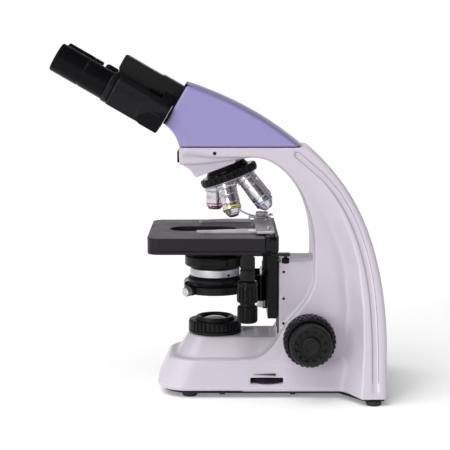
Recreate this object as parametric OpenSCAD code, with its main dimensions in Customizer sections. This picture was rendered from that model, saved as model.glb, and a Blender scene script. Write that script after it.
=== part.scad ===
// Upright laboratory microscope with a binocular head, a revolving nosepiece,
// a mechanical stage, a condenser, coaxial focus knobs and a built-in lamp.
// +Z is up, the user looks in from -Y, and the stage knobs are on the user's right, +X.

/* [Stand] */
// Distance of the optical axis in front of the middle of the footprint
axis_y = -4.1; // [-8:0.1:0]
// Height of the casting's underside above the table
base_z = 7; // [5:0.5:9]
// Half-width of the lower tier of the base at its foot
tier_half_w = 59; // [56:0.5:62]
// Height where the lower tier ends and the nose tier begins
tier_z = 40; // [38:0.5:42]
// Height of the lamp deck
deck_z = 61; // [60:0.5:63]
// Half-width of the lamp deck and of its round front
deck_half_w = 29; // [28:0.5:30]
// Half-width of the focus column
column_half_w = 29.5; // [28.5:0.5:31]
// Front face of the focus column, behind the optical axis
column_front_y = 69.7; // [69.7:0.1:70.5]
// Height of the top of the focus column
column_top_z = 144.5; // [143:0.5:145]
// Half-width of the arm and the arch
arm_half_w = 36; // [34:0.5:38]
// Height of the seam between the arm and the viewing head
seam_z = 268; // [267:0.5:270]
// Rear face of the stand at the floor
rear_y = 182; // [181:0.5:184]
// Half-width of the rear fins at the floor
fin_half_w = 92; // [88:1:94]

/* [Lamp and field ring] */
// Outer radius of the ribbed field diaphragm ring
field_ring_r = 29.3; // [28.5:0.1:29.5]
// Radius of the field lens opening
field_open_r = 15; // [13:0.5:16]
// Radius of the lamp dimmer wheel
dimmer_r = 18; // [17:0.5:18]

/* [Focus drive] */
// Focus axis behind the optical axis
focus_y = 101; // [100.5:0.5:101.5]
// Height of the focus axis
focus_z = 65; // [64:0.5:66]
// Radius of the coarse focus knobs
coarse_r = 28; // [26:0.5:29]
// Radius of the fine focus knobs
fine_r = 22.6; // [21:0.2:24]
// Teeth on the focus pinion
focus_teeth = 16; // [16:1:16]

/* [Stage] */
// Height of the stage surface
stage_z = 176; // [175:0.5:177]
// Half-width of the stage
stage_half_w = 75; // [72:1:78]
// Front edge of the stage, in front of the optical axis
stage_front_y = -71; // [-74:1:-68]
// Rear edge of the stage top
stage_rear_y = 54; // [54:1:54]
// Half-width of the opening in the stage
stage_hole_half_w = 17; // [15:0.5:18]
// Place of the coaxial stage knobs to the right of the axis
stage_knob_x = 58; // [58:1:58]
// Place of the coaxial stage knobs behind the axis
stage_knob_y = 35; // [35:1:35]

/* [Condenser] */
// Radius of the condenser's slider housing
condenser_r = 33; // [30:0.5:34]
// Radius of the knurled aperture ring
aperture_r = 27.3; // [26:0.1:28]

/* [Nosepiece] */
// Tilt of the nosepiece axis from upright
turret_tilt = 21; // [20:0.5:22]
// Height where the axes of all objectives meet
apex_z = 276; // [275.5:0.5:276.5]
// Distance from that point to the objective seats
seat_s = 54; // [53.5:0.5:54.5]
// Radius of the ribbed grip ring
turret_r = 32.2; // [31:0.2:33]
// Radius of the objective threads in the turret
objective_thread_r = 10.16; // [10.16:0.01:10.16]

/* [Viewing head] */
// Inclination of the eyepieces above level
eye_tilt = 30; // [30:1:30]
// Half the distance between the eyepieces as stored
half_ipd = 31; // [30:0.5:32]
// Radius of the eyepieces
eyepiece_r = 16; // [15:0.25:16.5]
// Distance from the head's front face to the end of the eyepieces
eye_end_u = 135; // [130:1:138]

/* [Hidden] */
$fn = 72;
gap = 0.3;
hull_fn = 32;
// Pivot of the two eyepiece tubes on the sloping front face of the head
hinge_y = -39.7;
hinge_z = 315.7;
tube_drop = 21.4;
arm_front_y = -38;
// Stations of the flared rear: height, half-width, start of the flat flank, valley place and half-width
flare = [[7, fin_half_w, 155, 131, 60], [64, 79, 158, 139, 50], [118, 62, 156, 141, 44],
         [167, 49, 143, 131, 40], [232, 40, 112, 96, 38]];
foot_places = [[45, -27], [84, 168]];
plate_screw_places = [[53, 8], [53, 84], [70, 163]];
set_screw_heights = [75.9, 103.4, 132.8];
turret_slots = 5;
seat_wall = 4;
slot_angle = 360 / turret_slots;
focus_module = 1;
focus_pitch_r = focus_teeth * focus_module / 2;
stage_teeth = 12;
stage_module = 0.8;
stage_pitch_r = stage_teeth * stage_module / 2;
condenser_teeth = 12;
condenser_module = 0.6;
condenser_pitch_r = condenser_teeth * condenser_module / 2;
condenser_shaft_y = 48.5;
condenser_shaft_z = 114;
pulley_r = 8;
lever_pivot = [-50, 53];

// ---------- helpers ----------

// Moves a part drawn around the optical axis into the frame of the whole instrument
module on_axis() { translate([0, axis_y, 0]) children(); }

// Mirrors a child to the left as well
module both_sides() {
    children();
    mirror([1, 0, 0]) children();
}

// Box from its lowest to its highest corner
module block(low, high) { translate(low) cube(high - low); }

// Cylinder along X, from x0 to x1
module rod_x(x0, x1, r, y, z) {
    translate([x0, y, z]) rotate([0, 90, 0]) cylinder(h = x1 - x0, r = r);
}

// Cylinder along Z, from z0 to z1
module rod_z(z0, z1, r, x = 0, y = 0) { translate([x, y, z0]) cylinder(h = z1 - z0, r = r); }

// Ring around Z
module ring_z(z0, z1, r_out, r_in) {
    difference() {
        rod_z(z0, z1, r_out);
        rod_z(z0 - 1, z1 + 1, r_in);
    }
}

// Plate drawn in the Y-Z plane and extruded across, from x0 to x1
module side_plate(x0, x1) {
    translate([x0, 0, 0]) rotate([90, 0, 90]) linear_extrude(x1 - x0) children();
}

// Points on a cubic curve, and on an elliptic arc
function bezier(a, b, c, d, n) = [for (i = [0:n]) let (t = i / n, s = 1 - t)
    s * s * s * a + 3 * s * s * t * b + 3 * s * t * t * c + t * t * t * d];
function ellipse_arc(c, a, b, from, to, n) = [for (i = [0:n]) let (w = from + (to - from) * i / n)
    [c[0] + a * cos(w), c[1] + b * sin(w)]];

// Grip: a ring of ribs cut by round flutes, along Z from 0 to h
module fluted_grip(h, r, r_in, flutes, flute_r) {
    difference() {
        cylinder(h = h, r = r);
        translate([0, 0, -1]) cylinder(h = h + 2, r = r_in);
        for (i = [0:flutes - 1]) rotate([0, 0, i * 360 / flutes])
            translate([r + flute_r * 0.45, 0, -1]) cylinder(h = h + 2, r = flute_r, $fn = 16);
    }
}

// Straight-sided gear on Z, centred at half a tooth gap
module pinion(teeth, m, h, bore) {
    r = teeth * m / 2;
    p = PI * m;
    difference() {
        union() {
            cylinder(h = h, r = r - 1.15 * m);
            for (i = [0:teeth - 1]) rotate([0, 0, i * 360 / teeth]) linear_extrude(h)
                polygon([[r - 1.4 * m, -0.34 * p], [r, -0.19 * p], [r + 0.8 * m, -0.09 * p],
                         [r + 0.8 * m, 0.09 * p], [r, 0.19 * p], [r - 1.4 * m, 0.34 * p]]);
        }
        if (bore > 0) translate([0, 0, -1]) cylinder(h = h + 2, r = bore);
    }
}

// Rack teeth along X in the X-Y plane, pitch line on X, teeth towards +Y, count each side of a gap at 0
module rack_teeth(count_low, count_high, m) {
    p = PI * m;
    for (i = [-count_low:count_high - 1]) translate([(i + 0.5) * p, 0])
        polygon([[-0.3 * p, -1.3 * m], [-0.19 * p, 0], [-0.1 * p, 0.8 * m],
                 [0.1 * p, 0.8 * m], [0.19 * p, 0], [0.3 * p, -1.3 * m]]);
}

// ---------- stand ----------

// Rear and top outline of the arm and the arch, from the seam down to the floor
function rear_outline() = bezier([93, seam_z], [116, 256], [rear_y, 226], [rear_y, 50], 24);

// Inner edge of the arch, from the top of the column up to the arm
function arch_outline() = ellipse_arc([40, 158], 65.5, 99, 0, 90, 14);

// Side outline of the whole rear and arm
module stand_outline() {
    polygon(concat([[arm_front_y, 250], [arm_front_y, seam_z]], rear_outline(),
        [[rear_y, base_z], [105.5, base_z]], arch_outline(), [[18, 254], [-14, 250]]));
}

// Horizontal slice of the flared rear at one station
module flare_slice(s) {
    translate([0, 0, s[0]]) linear_extrude(0.1)
        polygon([[-s[4], s[3]], [s[4], s[3]], [s[1], s[2]], [s[1], 200], [-s[1], 200], [-s[1], s[2]]]);
}

// Plan of the base with a rounded front, w is its half-width, f its front edge, c the corner radius
module base_plan(w, f, c, rear) {
    translate([-w, f + c]) square([2 * w, rear - f - c]);
    translate([-w + c, f]) square([2 * w - 2 * c, c + 1]);
    for (x = [-w + c, w - c]) translate([x, f + c]) circle(c);
}

module base_slice(z, w, f, c, rear) {
    translate([0, 0, z]) linear_extrude(0.1) base_plan(w, f, c, rear, $fn = hull_fn);
}

module stand_solid() {
    hull() {
        base_slice(base_z, tier_half_w, -60, 34, 134);
        base_slice(base_z + 6, tier_half_w, -62.5, 34, 134);
        base_slice(tier_z - 3, 51, -50.4, 30, 134);
        base_slice(tier_z - 0.1, 49, -48.5, 30, 134);
    }
    hull() {
        base_slice(tier_z - 1, 47, -41, 30, 118);
        base_slice(deck_z - 0.1, deck_half_w, -deck_half_w, deck_half_w - 0.5, 100);
    }
    hull() {
        translate([0, 0, tier_z - 1]) linear_extrude(0.1)
            polygon([[-50, 60], [50, 60], [51, 138], [-51, 138]]);
        translate([0, 0, 110]) linear_extrude(0.1)
            polygon([[-31, 103], [31, 103], [42, 142], [-42, 142]]);
    }
    block([-column_half_w, column_front_y, tier_z], [column_half_w, 125, column_top_z]);
    side_plate(-31, 31) stand_outline();
    intersection() {
        side_plate(-arm_half_w, arm_half_w) stand_outline();
        union() {
            block([-60, 109, base_z], [60, 200, 300]);
            block([-60, -60, 246], [60, 200, 300]);
            translate([0, 87, 226]) rotate([40, 0, 0]) block([-60, -4, -60], [60, 100, 60]);
        }
    }
    intersection() {
        side_plate(-100, 100) stand_outline();
        union() for (i = [0:len(flare) - 2]) hull() {
            flare_slice(flare[i]);
            flare_slice(flare[i + 1]);
        }
    }
}

module stand_casting() {
    color([0.80, 0.77, 0.83]) on_axis() difference() {
        stand_solid();
        // wiring space, lamp house, focus space and the slot for the slide's web
        translate([0, 0, base_z - 1]) linear_extrude(28) base_plan(47, -46, 30, 140);
        block([-24, -24, 30], [24, 62, deck_z - 5]);
        block([-22, 75, 30], [22, 118, 140]);
        block([-9.5, 60, 62], [9.5, 80, 140]);
        block([-44, 138, base_z - 1], [44, 171, 60]);
        rod_z(50, deck_z + 2, 22);
        // focus shaft bores
        rod_x(-70, 70, 11, focus_y, focus_z);
        // dimmer slot in the right flank
        block([44, 38.4, 15.6], [70, 73.8, 21.6]);
        // recessed rear panel with the mains socket and the switch
        block([-32, 177, 20], [32, 190, 56]);
        block([-24, 165, 26], [4, 180, 48]);
        block([10, 165, 28], [24, 180, 46]);
        rod_x(9, 25, 1.66, 170, 37);
        // round dovetail socket for the head and the light path
        rod_z(260, seam_z + 1, 25);
        rod_z(240, 262, 12);
        // set screw holes
        both_sides() for (z = set_screw_heights) rod_x(23, 40, 2, 74.8, z);
        rod_x(27, 50, 2.5, 0, 262);
        // screw holes for the bottom plate
        both_sides() for (p = plate_screw_places) rod_z(base_z - 1, 20, 1.6, p[0], p[1]);
        // groove that follows the rear edge on both flanks
        both_sides() rear_groove();
    }
}

// Shallow groove parallel to the rear edge, cut into the flank
module rear_groove() {
    for (s = [[12, 60, 90.8, 78.8], [62, 118, 78.4, 61]])
        let (rise = s[1] - s[0], lean = atan2(s[2] - s[3], rise))
            translate([s[2], 165, s[0]]) rotate([0, -lean, 0])
                block([-0.2, -3, 0], [6, 3, rise / cos(lean)]);
}

module bottom_plate() {
    color([0.12, 0.12, 0.13]) on_axis() difference() {
        translate([0, 0, 5]) linear_extrude(base_z - 5) union() {
            base_plan(56, -56, 32, 134);
            polygon([[-56, 133], [56, 133], [88, 157], [88, 179], [-88, 179], [-88, 157]]);
        }
        both_sides() for (p = plate_screw_places) rod_z(4, 9, 1.6, p[0], p[1]);
        // ventilation slots under the lamp
        for (y = [20:6:56]) block([-14, y, 4], [14, y + 2.4, 8]);
    }
}

module rubber_feet() {
    color([0.08, 0.08, 0.08]) on_axis() both_sides() for (p = foot_places) translate([p[0], p[1], 0])
        rotate_extrude() polygon([[0, 0], [7.5, 0], [8.5, 1], [8.5, 5], [0, 5]]);
}

module plate_screws() {
    color([0.5, 0.5, 0.52]) on_axis() both_sides() for (p = plate_screw_places) translate([p[0], p[1], 0])
        difference() {
            union() {
                rod_z(3.4, 5, 3);
                rod_z(4.9, 14, 1.45);
            }
            block([-2.2, -0.4, 3], [2.2, 0.4, 4]);
        }
}

module set_screws() {
    color([0.15, 0.15, 0.16]) on_axis() {
        both_sides() for (z = set_screw_heights) difference() {
            rod_x(23, 28.6, 1.85, 74.8, z);
            rod_x(26.5, 30, 0.9, 74.8, z, $fn = 6);
        }
        difference() {
            rod_x(27, 34.5, 2.35, 0, 262);
            rod_x(32, 36, 1.2, 0, 262, $fn = 6);
        }
    }
}

module focus_bushes() {
    color([0.72, 0.6, 0.3]) on_axis() both_sides() difference() {
        union() {
            rod_x(24, 50, 11, focus_y, focus_z);
            rod_x(50, 52, 14, focus_y, focus_z);
        }
        rod_x(20, 60, 6.06, focus_y, focus_z);
    }
}

module guide_rails() {
    color([0.1, 0.1, 0.11]) on_axis() both_sides()
        block([11, column_front_y - 1.2, deck_z + 0.5], [24, column_front_y, column_top_z - 1]);
}

module arm_port_cap() {
    color([0.06, 0.06, 0.07]) on_axis()
        block([-17, arm_front_y - 1.3, 253.5], [17, arm_front_y, 264]);
}

// ---------- lamp ----------

module field_lens_mount() {
    color([0.07, 0.07, 0.08]) on_axis() rotate_extrude() polygon([
        [16.6, 54], [21.7, 54], [21.7, deck_z], [field_ring_r, deck_z], [field_ring_r, deck_z + 3.4],
        [21.7, deck_z + 3.4], [21.7, 77.4], [20.8, 79], [field_open_r, 79], [field_open_r, 77.2],
        [16.6, 77.2]]);
}

module field_lens() {
    color([0.85, 0.9, 0.95, 0.4]) on_axis() rotate_extrude()
        polygon(concat([[0, 69], [16.6, 69]], [for (i = [0:6]) [16.6 * (1 - i / 6), 72 + 3 * sin(15 * i)]]));
}

module field_diaphragm_ring() {
    color([0.05, 0.05, 0.06]) on_axis() translate([0, 0, deck_z + 3.7])
        fluted_grip(10.6, field_ring_r, 22, 36, 1.1);
}

// Mirror at 45 degrees that turns the light up, on a bar across the lamp house
module fold_mirror() {
    color([0.8, 0.8, 0.82]) on_axis() translate([0, -2.1, 37.9]) rotate([-45, 0, 0]) {
        block([-15, -18, 0], [15, 18, 3]);
        block([-24, -5, -3], [24, 5, 0.1]);
    }
}

module collector_lens() {
    color([0.85, 0.9, 0.95, 0.4]) on_axis() translate([0, 30, 40]) rotate([-90, 0, 0]) rotate_extrude()
        polygon(concat([[0, 0], [13, 0]], [for (i = [0:6]) [13 * (1 - i / 6), 3 + 4 * sin(15 * i)]]));
}

// Lamp on its star board, with a finned heat sink behind it and the collector's tube in front
module led_module() {
    color([0.7, 0.7, 0.72]) on_axis() {
        translate([0, 42, 40]) rotate([-90, 0, 0]) {
            translate([0, 0, -2]) cylinder(h = 2.02, r = 3.5);
            cylinder(h = 1.62, r = 10);
            translate([0, 0, -12]) difference() {
                cylinder(h = 13.7, r = 15);
                translate([0, 0, -1]) cylinder(h = 16, r = 13);
            }
        }
        block([-16, 43.6, 25], [16, 47, 55]);
        for (x = [-16:4.8:13]) block([x, 46.9, 26], [x + 1.6, 62, 54]);
    }
}

// Driver board with its transformer, a capacitor and the dimmer potentiometer
module power_board() {
    color([0.1, 0.35, 0.2]) on_axis() {
        block([-36, 78, 10], [44, 132, 11.6]);
        for (x = [-32, 40], y = [82, 128]) rod_z(base_z, 10.1, 3, x, y);
        rod_z(base_z, 9.1, 3, 42, 50);
        block([-30, 90, 11.5], [-6, 112, 30]);
        block([4, 92, 11.5], [16, 104, 22]);
        rod_z(11.5, 27, 6, 30, 110);
        block([30, 44, 9], [46, 79, 10.6]);
        rod_z(10.5, 14.5, 4.8, 42, 56);
        rod_z(14.4, 22, 3, 42, 56);
    }
}

module dimmer_wheel() {
    color([0.06, 0.06, 0.07]) on_axis() translate([42, 56, 16.6]) fluted_grip(4, dimmer_r, 3.06, 60, 0.5);
}

// Three-pin appliance inlet in the rear panel
module power_inlet() {
    color([0.08, 0.08, 0.09]) on_axis() difference() {
        union() {
            block([-24 + gap, 158, 26 + gap], [4 - gap, 177.5, 48 - gap]);
            block([-27, 177, 23], [7, 179, 51]);
        }
        block([-20.5, 162, 28.5], [0.5, 180, 45.5]);
    }
    color([0.75, 0.7, 0.5]) on_axis() for (p = [[-15, 35.5], [-5, 35.5], [-10, 39]])
        block([p[0] - 1, 160, p[1] - 2], [p[0] + 1, 174, p[1] + 2]);
}

// Rocker on two short trunnions
module power_switch() {
    color([0.06, 0.06, 0.07]) on_axis() {
        side_plate(11, 23)
            polygon([[166, 33], [176, 30], [180.2, 30.6], [178.4, 37], [176.4, 44.6], [166, 42]]);
        rod_x(9.3, 24.7, 1.6, 170, 37);
    }
}

// ---------- focus drive ----------

module focus_frame() { on_axis() translate([0, focus_y, focus_z]) rotate([0, 90, 0]) children(); }

// Hollow shaft with the pinion that drives the focus rack
module coarse_shaft() {
    color([0.6, 0.6, 0.62]) focus_frame() difference() {
        union() {
            translate([0, 0, -74]) cylinder(h = 148, r = 6);
            translate([0, 0, -6]) pinion(focus_teeth, focus_module, 12, 0);
        }
        translate([0, 0, -80]) cylinder(h = 160, r = 3.06);
    }
}

module coarse_knob() {
    focus_frame() difference() {
        union() {
            translate([0, 0, 56]) fluted_grip(20, coarse_r, 5, 34, 1.5);
            translate([0, 0, 75.5]) cylinder(h = 2.5, r = 25);
        }
        translate([0, 0, 50]) cylinder(h = 30, r = 6);
        translate([0, 0, 77]) cylinder(h = 4, r = 23.4);
    }
}

module coarse_knob_right() { color([0.07, 0.07, 0.08]) coarse_knob(); }

module coarse_knob_left() { color([0.07, 0.07, 0.08]) mirror([1, 0, 0]) coarse_knob(); }

module fine_knob() {
    focus_frame() difference() {
        union() {
            translate([0, 0, 82]) rotate_extrude() polygon([[0, 0], [fine_r - 1, 0], [fine_r, 1],
                [fine_r, 11], [fine_r - 2, 13], [0, 13]]);
            translate([0, 0, 77.3]) cylinder(h = 5.2, r = 9);
        }
        translate([0, 0, 94]) ring_z(-1, 2, 18, 11);
    }
}

module fine_knob_right() {
    color([0.08, 0.08, 0.09]) difference() {
        fine_knob();
        focus_frame() translate([0, 0, 70]) cylinder(h = 19.5, r = 3);
    }
}

// Left fine knob with the long shaft that runs through the coarse shaft
module fine_knob_left() {
    color([0.08, 0.08, 0.09]) {
        mirror([1, 0, 0]) fine_knob();
        focus_frame() translate([0, 0, -84]) cylinder(h = 173.5, r = 3);
    }
}

module tension_collar() {
    color([0.1, 0.1, 0.11]) focus_frame() translate([0, 0, 52.3]) fluted_grip(3.3, 19, 6.06, 40, 0.8);
}

// Slide that carries the stage, with the web and the rack that reach into the column
module focus_slide() {
    color([0.06, 0.06, 0.07]) on_axis() {
        block([-24, 57.5, 80], [24, column_front_y - 1.5, 149.6]);
        block([-8.5, column_front_y - 1.6, 84], [8.5, 90, 126]);
        block([-6, 86, 48], [6, focus_y - focus_pitch_r - 1.1, 128]);
        translate([-6, focus_y - focus_pitch_r, focus_z]) rotate([90, 0, 90]) linear_extrude(12)
            rotate([0, 0, 90]) mirror([0, 1]) rack_teeth(5, 8, focus_module);
            block([-22, 44, 149.5], [22, column_front_y - 1.5, 153]);
    }
}

// ---------- stage ----------

// Fixed lower plate with two guide rails and the rack of the Y drive
module stage_base() {
    color([0.09, 0.09, 0.1]) on_axis() {
        difference() {
            union() {
                block([-48, -52, 157.4], [48, 68, 160]);
                block([-48, 27, 153], [48, 68, 158]);
            }
            rod_z(150, 165, 26);
            block([-18, -47, 150], [18, 0, 165]);
        }
        both_sides() block([42, -42, 159.9], [46, 18.5, 163.5]);
        translate([stage_knob_x - stage_pitch_r, stage_knob_y, 155]) linear_extrude(5)
            rotate([0, 0, 90]) mirror([0, 1]) rack_teeth(14, 11, stage_module);
        block([47.9, -1, 155], [stage_knob_x - stage_pitch_r - 0.85, 64, 160]);
    }
}

module stage_plan(inset) {
    r = 14 - inset;
    w = stage_half_w - inset;
    f = stage_front_y + inset;
    for (x = [-w + r, w - r]) translate([x, f + r]) circle(r);
    translate([-w, f + r]) square([2 * w, stage_rear_y - inset - f - r]);
    translate([-w + r, f]) square([2 * w - 2 * r, r + 1]);
}

// Moving stage plate with its skirt, and the runners under it
module stage_top() {
    color([0.2, 0.18, 0.2]) on_axis() {
        difference() {
            translate([0, 0, 161.5]) linear_extrude(stage_z - 161.5) stage_plan(0);
            translate([0, 0, 160]) linear_extrude(12) stage_plan(4);
            translate([0, 0, 160]) linear_extrude(20) {
                translate([0, -32]) circle(stage_hole_half_w);
                translate([0, 7]) circle(stage_hole_half_w);
                translate([-stage_hole_half_w, -32]) square([2 * stage_hole_half_w, 39]);
            }
        }
        both_sides() block([46.3, -45, 161.8], [50, 22, 172.1]);
        rod_z(168.8, 172.1, pulley_r, -stage_knob_x, stage_knob_y);
    }
}

// Dovetail rail for the specimen holder, along the rear of the stage
module holder_rail() {
    color([0.05, 0.05, 0.06]) on_axis() difference() {
        block([-stage_half_w, stage_rear_y, 163], [stage_half_w, 67.5, 178]);
        block([-80, 58, 172], [80, 64, 179]);
    }
}

// Bracket and tube that hold the coaxial stage knobs
module knob_housing() {
    color([0.12, 0.13, 0.14]) on_axis() difference() {
        union() {
            rod_z(128.3, 153.6, 8, stage_knob_x, stage_knob_y);
            block([stage_knob_x, 28, 141], [74, 42, 161.5]);
        }
        rod_z(120, 165, 5.06, stage_knob_x, stage_knob_y);
        rod_z(153.6, 162, 7, stage_knob_x, stage_knob_y);
        block([50, 20, 153.6], [stage_knob_x, 50, 165]);
    }
}

// Closed belt between the X knob's pulley and an idler post
module drive_belt() {
    color([0.1, 0.1, 0.1]) on_axis() {
        translate([0, stage_knob_y, 169.2]) linear_extrude(2.4) difference() {
            union() {
                for (x = [-stage_knob_x, stage_knob_x]) translate([x, 0]) circle(pulley_r + 1.2);
                translate([-stage_knob_x, -pulley_r - 1.2]) square([2 * stage_knob_x, 2 * pulley_r + 2.4]);
            }
            for (x = [-stage_knob_x, stage_knob_x]) translate([x, 0]) circle(pulley_r + 0.2);
            translate([-stage_knob_x, -pulley_r - 0.2]) square([2 * stage_knob_x, 2 * pulley_r + 0.4]);
        }
    }
}

module stage_y_knob() {
    color([0.06, 0.06, 0.07]) on_axis() translate([stage_knob_x, stage_knob_y, 0]) {
        translate([0, 0, 105]) fluted_grip(23, 11.4, 3.5, 24, 1);
        ring_z(105, 154.6, 4.99, 3.06);
        translate([0, 0, 154.5]) pinion(stage_teeth, stage_module, 5.5, 3.06);
    }
}

module stage_x_knob() {
    color([0.06, 0.06, 0.07]) on_axis() translate([stage_knob_x, stage_knob_y, 0]) {
        translate([0, 0, 83]) fluted_grip(20.2, 10.9, 2, 24, 1);
        rod_z(83, 171.6, 3);
        rod_z(168.9, 171.7, pulley_r);
    }
}

// Specimen holder with its fixed finger; a tongue runs in the rail's groove
module specimen_holder() {
    color([0.66, 0.65, 0.68]) on_axis() {
        difference() {
            block([-57, 44, 178.3], [57, 63.7, 181.3]);
            rod_z(175, 185, 3.06, lever_pivot[0], lever_pivot[1]);
            for (x = [-30, 32]) rod_z(175, 185, 1.6, x, 58);
        }
        for (x = [-30, 32]) {
            rod_z(178.4, 183, 1.5, x, 58);
            rod_z(181.3, 183.2, 3, x, 58);
        }
        block([-45, 58.3, 172.5], [45, 63.7, 178.4]);
        block([39, -18, 176.8], [43, 30, 178.8]);
        block([39, 29.8, 176.8], [43, 50, 180.6]);
        block([36.2, -18, 176.8], [43, -14, 178.8]);
    }
}

// Sprung finger on its pivot nut, with the tail that the user presses
module holder_lever() {
    color([0.78, 0.78, 0.8]) on_axis() {
        translate([lever_pivot[0], lever_pivot[1], 0]) {
            rod_z(178.4, 186.4, 3);
            rod_z(183.3, 188.6, 7.2);
            rod_z(181.6, 183.4, 6);
        }
        translate([lever_pivot[0], lever_pivot[1], 181.6]) linear_extrude(1.6)
            polygon([[-4, -4], [4, -4], [4, 4], [-4, 4], [-24, 12], [-25, 9]]);
        translate([lever_pivot[0], lever_pivot[1], 181.6]) linear_extrude(1.6)
            polygon([[-4, 3], [-3, -24], [2, -24], [4, 3]]);
        block([-53, 26.5, 176.8], [-48, 29.2, 183.2]);
        translate([0, 0, 176.8]) linear_extrude(1.8)
            polygon(concat([[-48, 29], [-53, 29]], bezier([-53, 22], [-54, 5], [-50, -10], [-40, -18], 8),
                [[-38, -15]], bezier([-40, -14], [-47, -8], [-50, 6], [-48, 22], 8)));
    }
}

// ---------- condenser ----------

module condenser_rail() {
    color([0.07, 0.07, 0.08]) on_axis() {
        block([-7, condenser_shaft_y + condenser_pitch_r + 0.65, 88], [7, 57.5, 149.5]);
        translate([-3, condenser_shaft_y + condenser_pitch_r, condenser_shaft_z]) rotate([90, 0, 90])
            linear_extrude(6) rotate([0, 0, 90]) rack_teeth(8, 14, condenser_module);
    }
}

// Block that slides on the rail and holds the condenser ring
module condenser_fork() {
    color([0.07, 0.07, 0.08]) on_axis() difference() {
        union() {
            block([-22, 42.5, 100], [22, 52.4, 128]);
            both_sides() block([7.3, 52.3, 100], [22, 57.2, 128]);
            rod_z(107, 115, 34);
            block([-18, 25, 107], [18, 45, 115]);
        }
        rod_z(100, 120, 29.2);
        block([-5, 44.2, 108.5], [5, 60, 119.5]);
        block([-3.4, 51.2, 99], [3.4, 60, 129]);
        rod_x(-40, 12, 2.56, condenser_shaft_y, condenser_shaft_z);
        rod_z(90, 140, 1.6, 17, 50.5);
        for (side = [-1, 1]) rotate([0, 0, side * 45]) translate([0, -36, 111])
            rotate([-90, 0, 0]) cylinder(h = 10, r = 2.06);
    }
}

module condenser_body() {
    color([0.06, 0.06, 0.07]) on_axis() difference() {
        union() {
            rotate_extrude() polygon([[0, 106.6], [25.4, 106.6], [27, 108], [27, 115], [29.6, 115], [30, 118],
                [30, 122.5], [28, 124.2], [20, 124.2], [20, 134.4], [26, 134.4], [26, 136],
                [condenser_r - 1, 136], [condenser_r, 137], [condenser_r, 147], [condenser_r - 1, 148],
                [24, 148], [23, 152], [20, 152], [19, 158], [19, 166], [16, 168.6], [0, 168.6]]);
        }
        rod_z(100, 160, 13);
        rod_z(155, 170, 11.3);
        // slider slot through the housing
        block([-40, -13, 139.4], [40, 13, 144.4]);
    }
}

module condenser_lens() {
    color([0.85, 0.9, 0.95, 0.4]) on_axis() {
        rotate_extrude() polygon(concat([[0, 160.2], [11.3, 160.2]],
            [for (i = [0:6]) [11.3 * (1 - i / 6), 166 + 2.6 * sin(15 * i)]]));
        rotate_extrude() polygon(concat([[0, 120], [13, 120]],
            [for (i = [0:6]) [13 * (1 - i / 6), 124 + 4 * sin(15 * i)]]));
    }
}

module condenser_stop_screw() {
    color([0.6, 0.56, 0.62]) on_axis() translate([17, 50.5, 0]) {
        rod_z(92, 137, 1.45);
        translate([0, 0, 92]) fluted_grip(8, 4.8, 1, 16, 0.7);
    }
}

// Knurled ring that works the aperture diaphragm, with its small handle
module aperture_ring() {
    color([0.7, 0.69, 0.72]) on_axis() {
        translate([0, 0, 124.6]) fluted_grip(9.4, aperture_r, 20.3, 72, 0.5);
        rotate([0, 0, -150]) translate([aperture_r - 1, 0, 127.7]) rotate([0, 90, 0])
            cylinder(h = 9, r = 1.6);
    }
}

module condenser_knob() {
    color([0.07, 0.07, 0.08]) on_axis() translate([0, condenser_shaft_y, condenser_shaft_z])
        rotate([0, 90, 0]) {
            translate([0, 0, -46]) fluted_grip(18, 9.5, 1, 24, 0.9);
            translate([0, 0, -46]) cylinder(h = 54, r = 2.5);
            translate([0, 0, -3]) pinion(condenser_teeth, condenser_module, 6, 0);
        }
}

module centering_screw(side) {
    rotate([0, 0, side * 45]) translate([0, -46, 111]) rotate([-90, 0, 0]) {
        fluted_grip(8, 5, 1, 18, 0.6);
        cylinder(h = 18.6, r = 2);
    }
}

module centering_screw_right() { color([0.75, 0.74, 0.77]) on_axis() centering_screw(1); }

module centering_screw_left() { color([0.75, 0.74, 0.77]) on_axis() centering_screw(-1); }

// ---------- nosepiece ----------

// Frame of the tilted nosepiece: its origin is where all objective axes meet, its axis is Z
module turret_frame() { on_axis() translate([0, 0, apex_z]) rotate([turret_tilt, 0, 0]) children(); }

// One station of the turret: a child drawn downwards along -Z lands on that objective's axis
module station(k) { rotate([0, 0, k * slot_angle]) rotate([-turret_tilt, 0, 0]) children(); }

module nosepiece_mount() {
    color([0.78, 0.74, 0.82]) on_axis() difference() {
        side_plate(-24, 24) polygon([[-35, 250], [-26, 242], [-20.5, 234.5], [22, 250.8], [22, 254.4],
            [18, 254], [-14, 250]]);
        rod_z(225, 262, 12);
    }
}

// Fixed half of the nosepiece with the pin that the turret turns on
module nosepiece_hub() {
    color([0.05, 0.05, 0.06]) difference() {
        turret_frame() {
            translate([0, 0, -38.1]) cylinder(h = 6.7, r = 22);
            translate([0, 0, -54.5]) cylinder(h = 17, r = 5);
            translate([0, 0, -55.4]) cylinder(h = 1.6, r = 7.4);
        }
        on_axis() rod_z(225, 262, 10);
    }
}

module turret_ring() {
    color([0.05, 0.05, 0.06]) turret_frame() difference() {
        translate([0, 0, -46.1]) fluted_grip(7.6, turret_r, 28, 26, 1.6);
        translate([0, 0, -47]) cylinder(h = 4.6, r = 28.9);
    }
}

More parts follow.
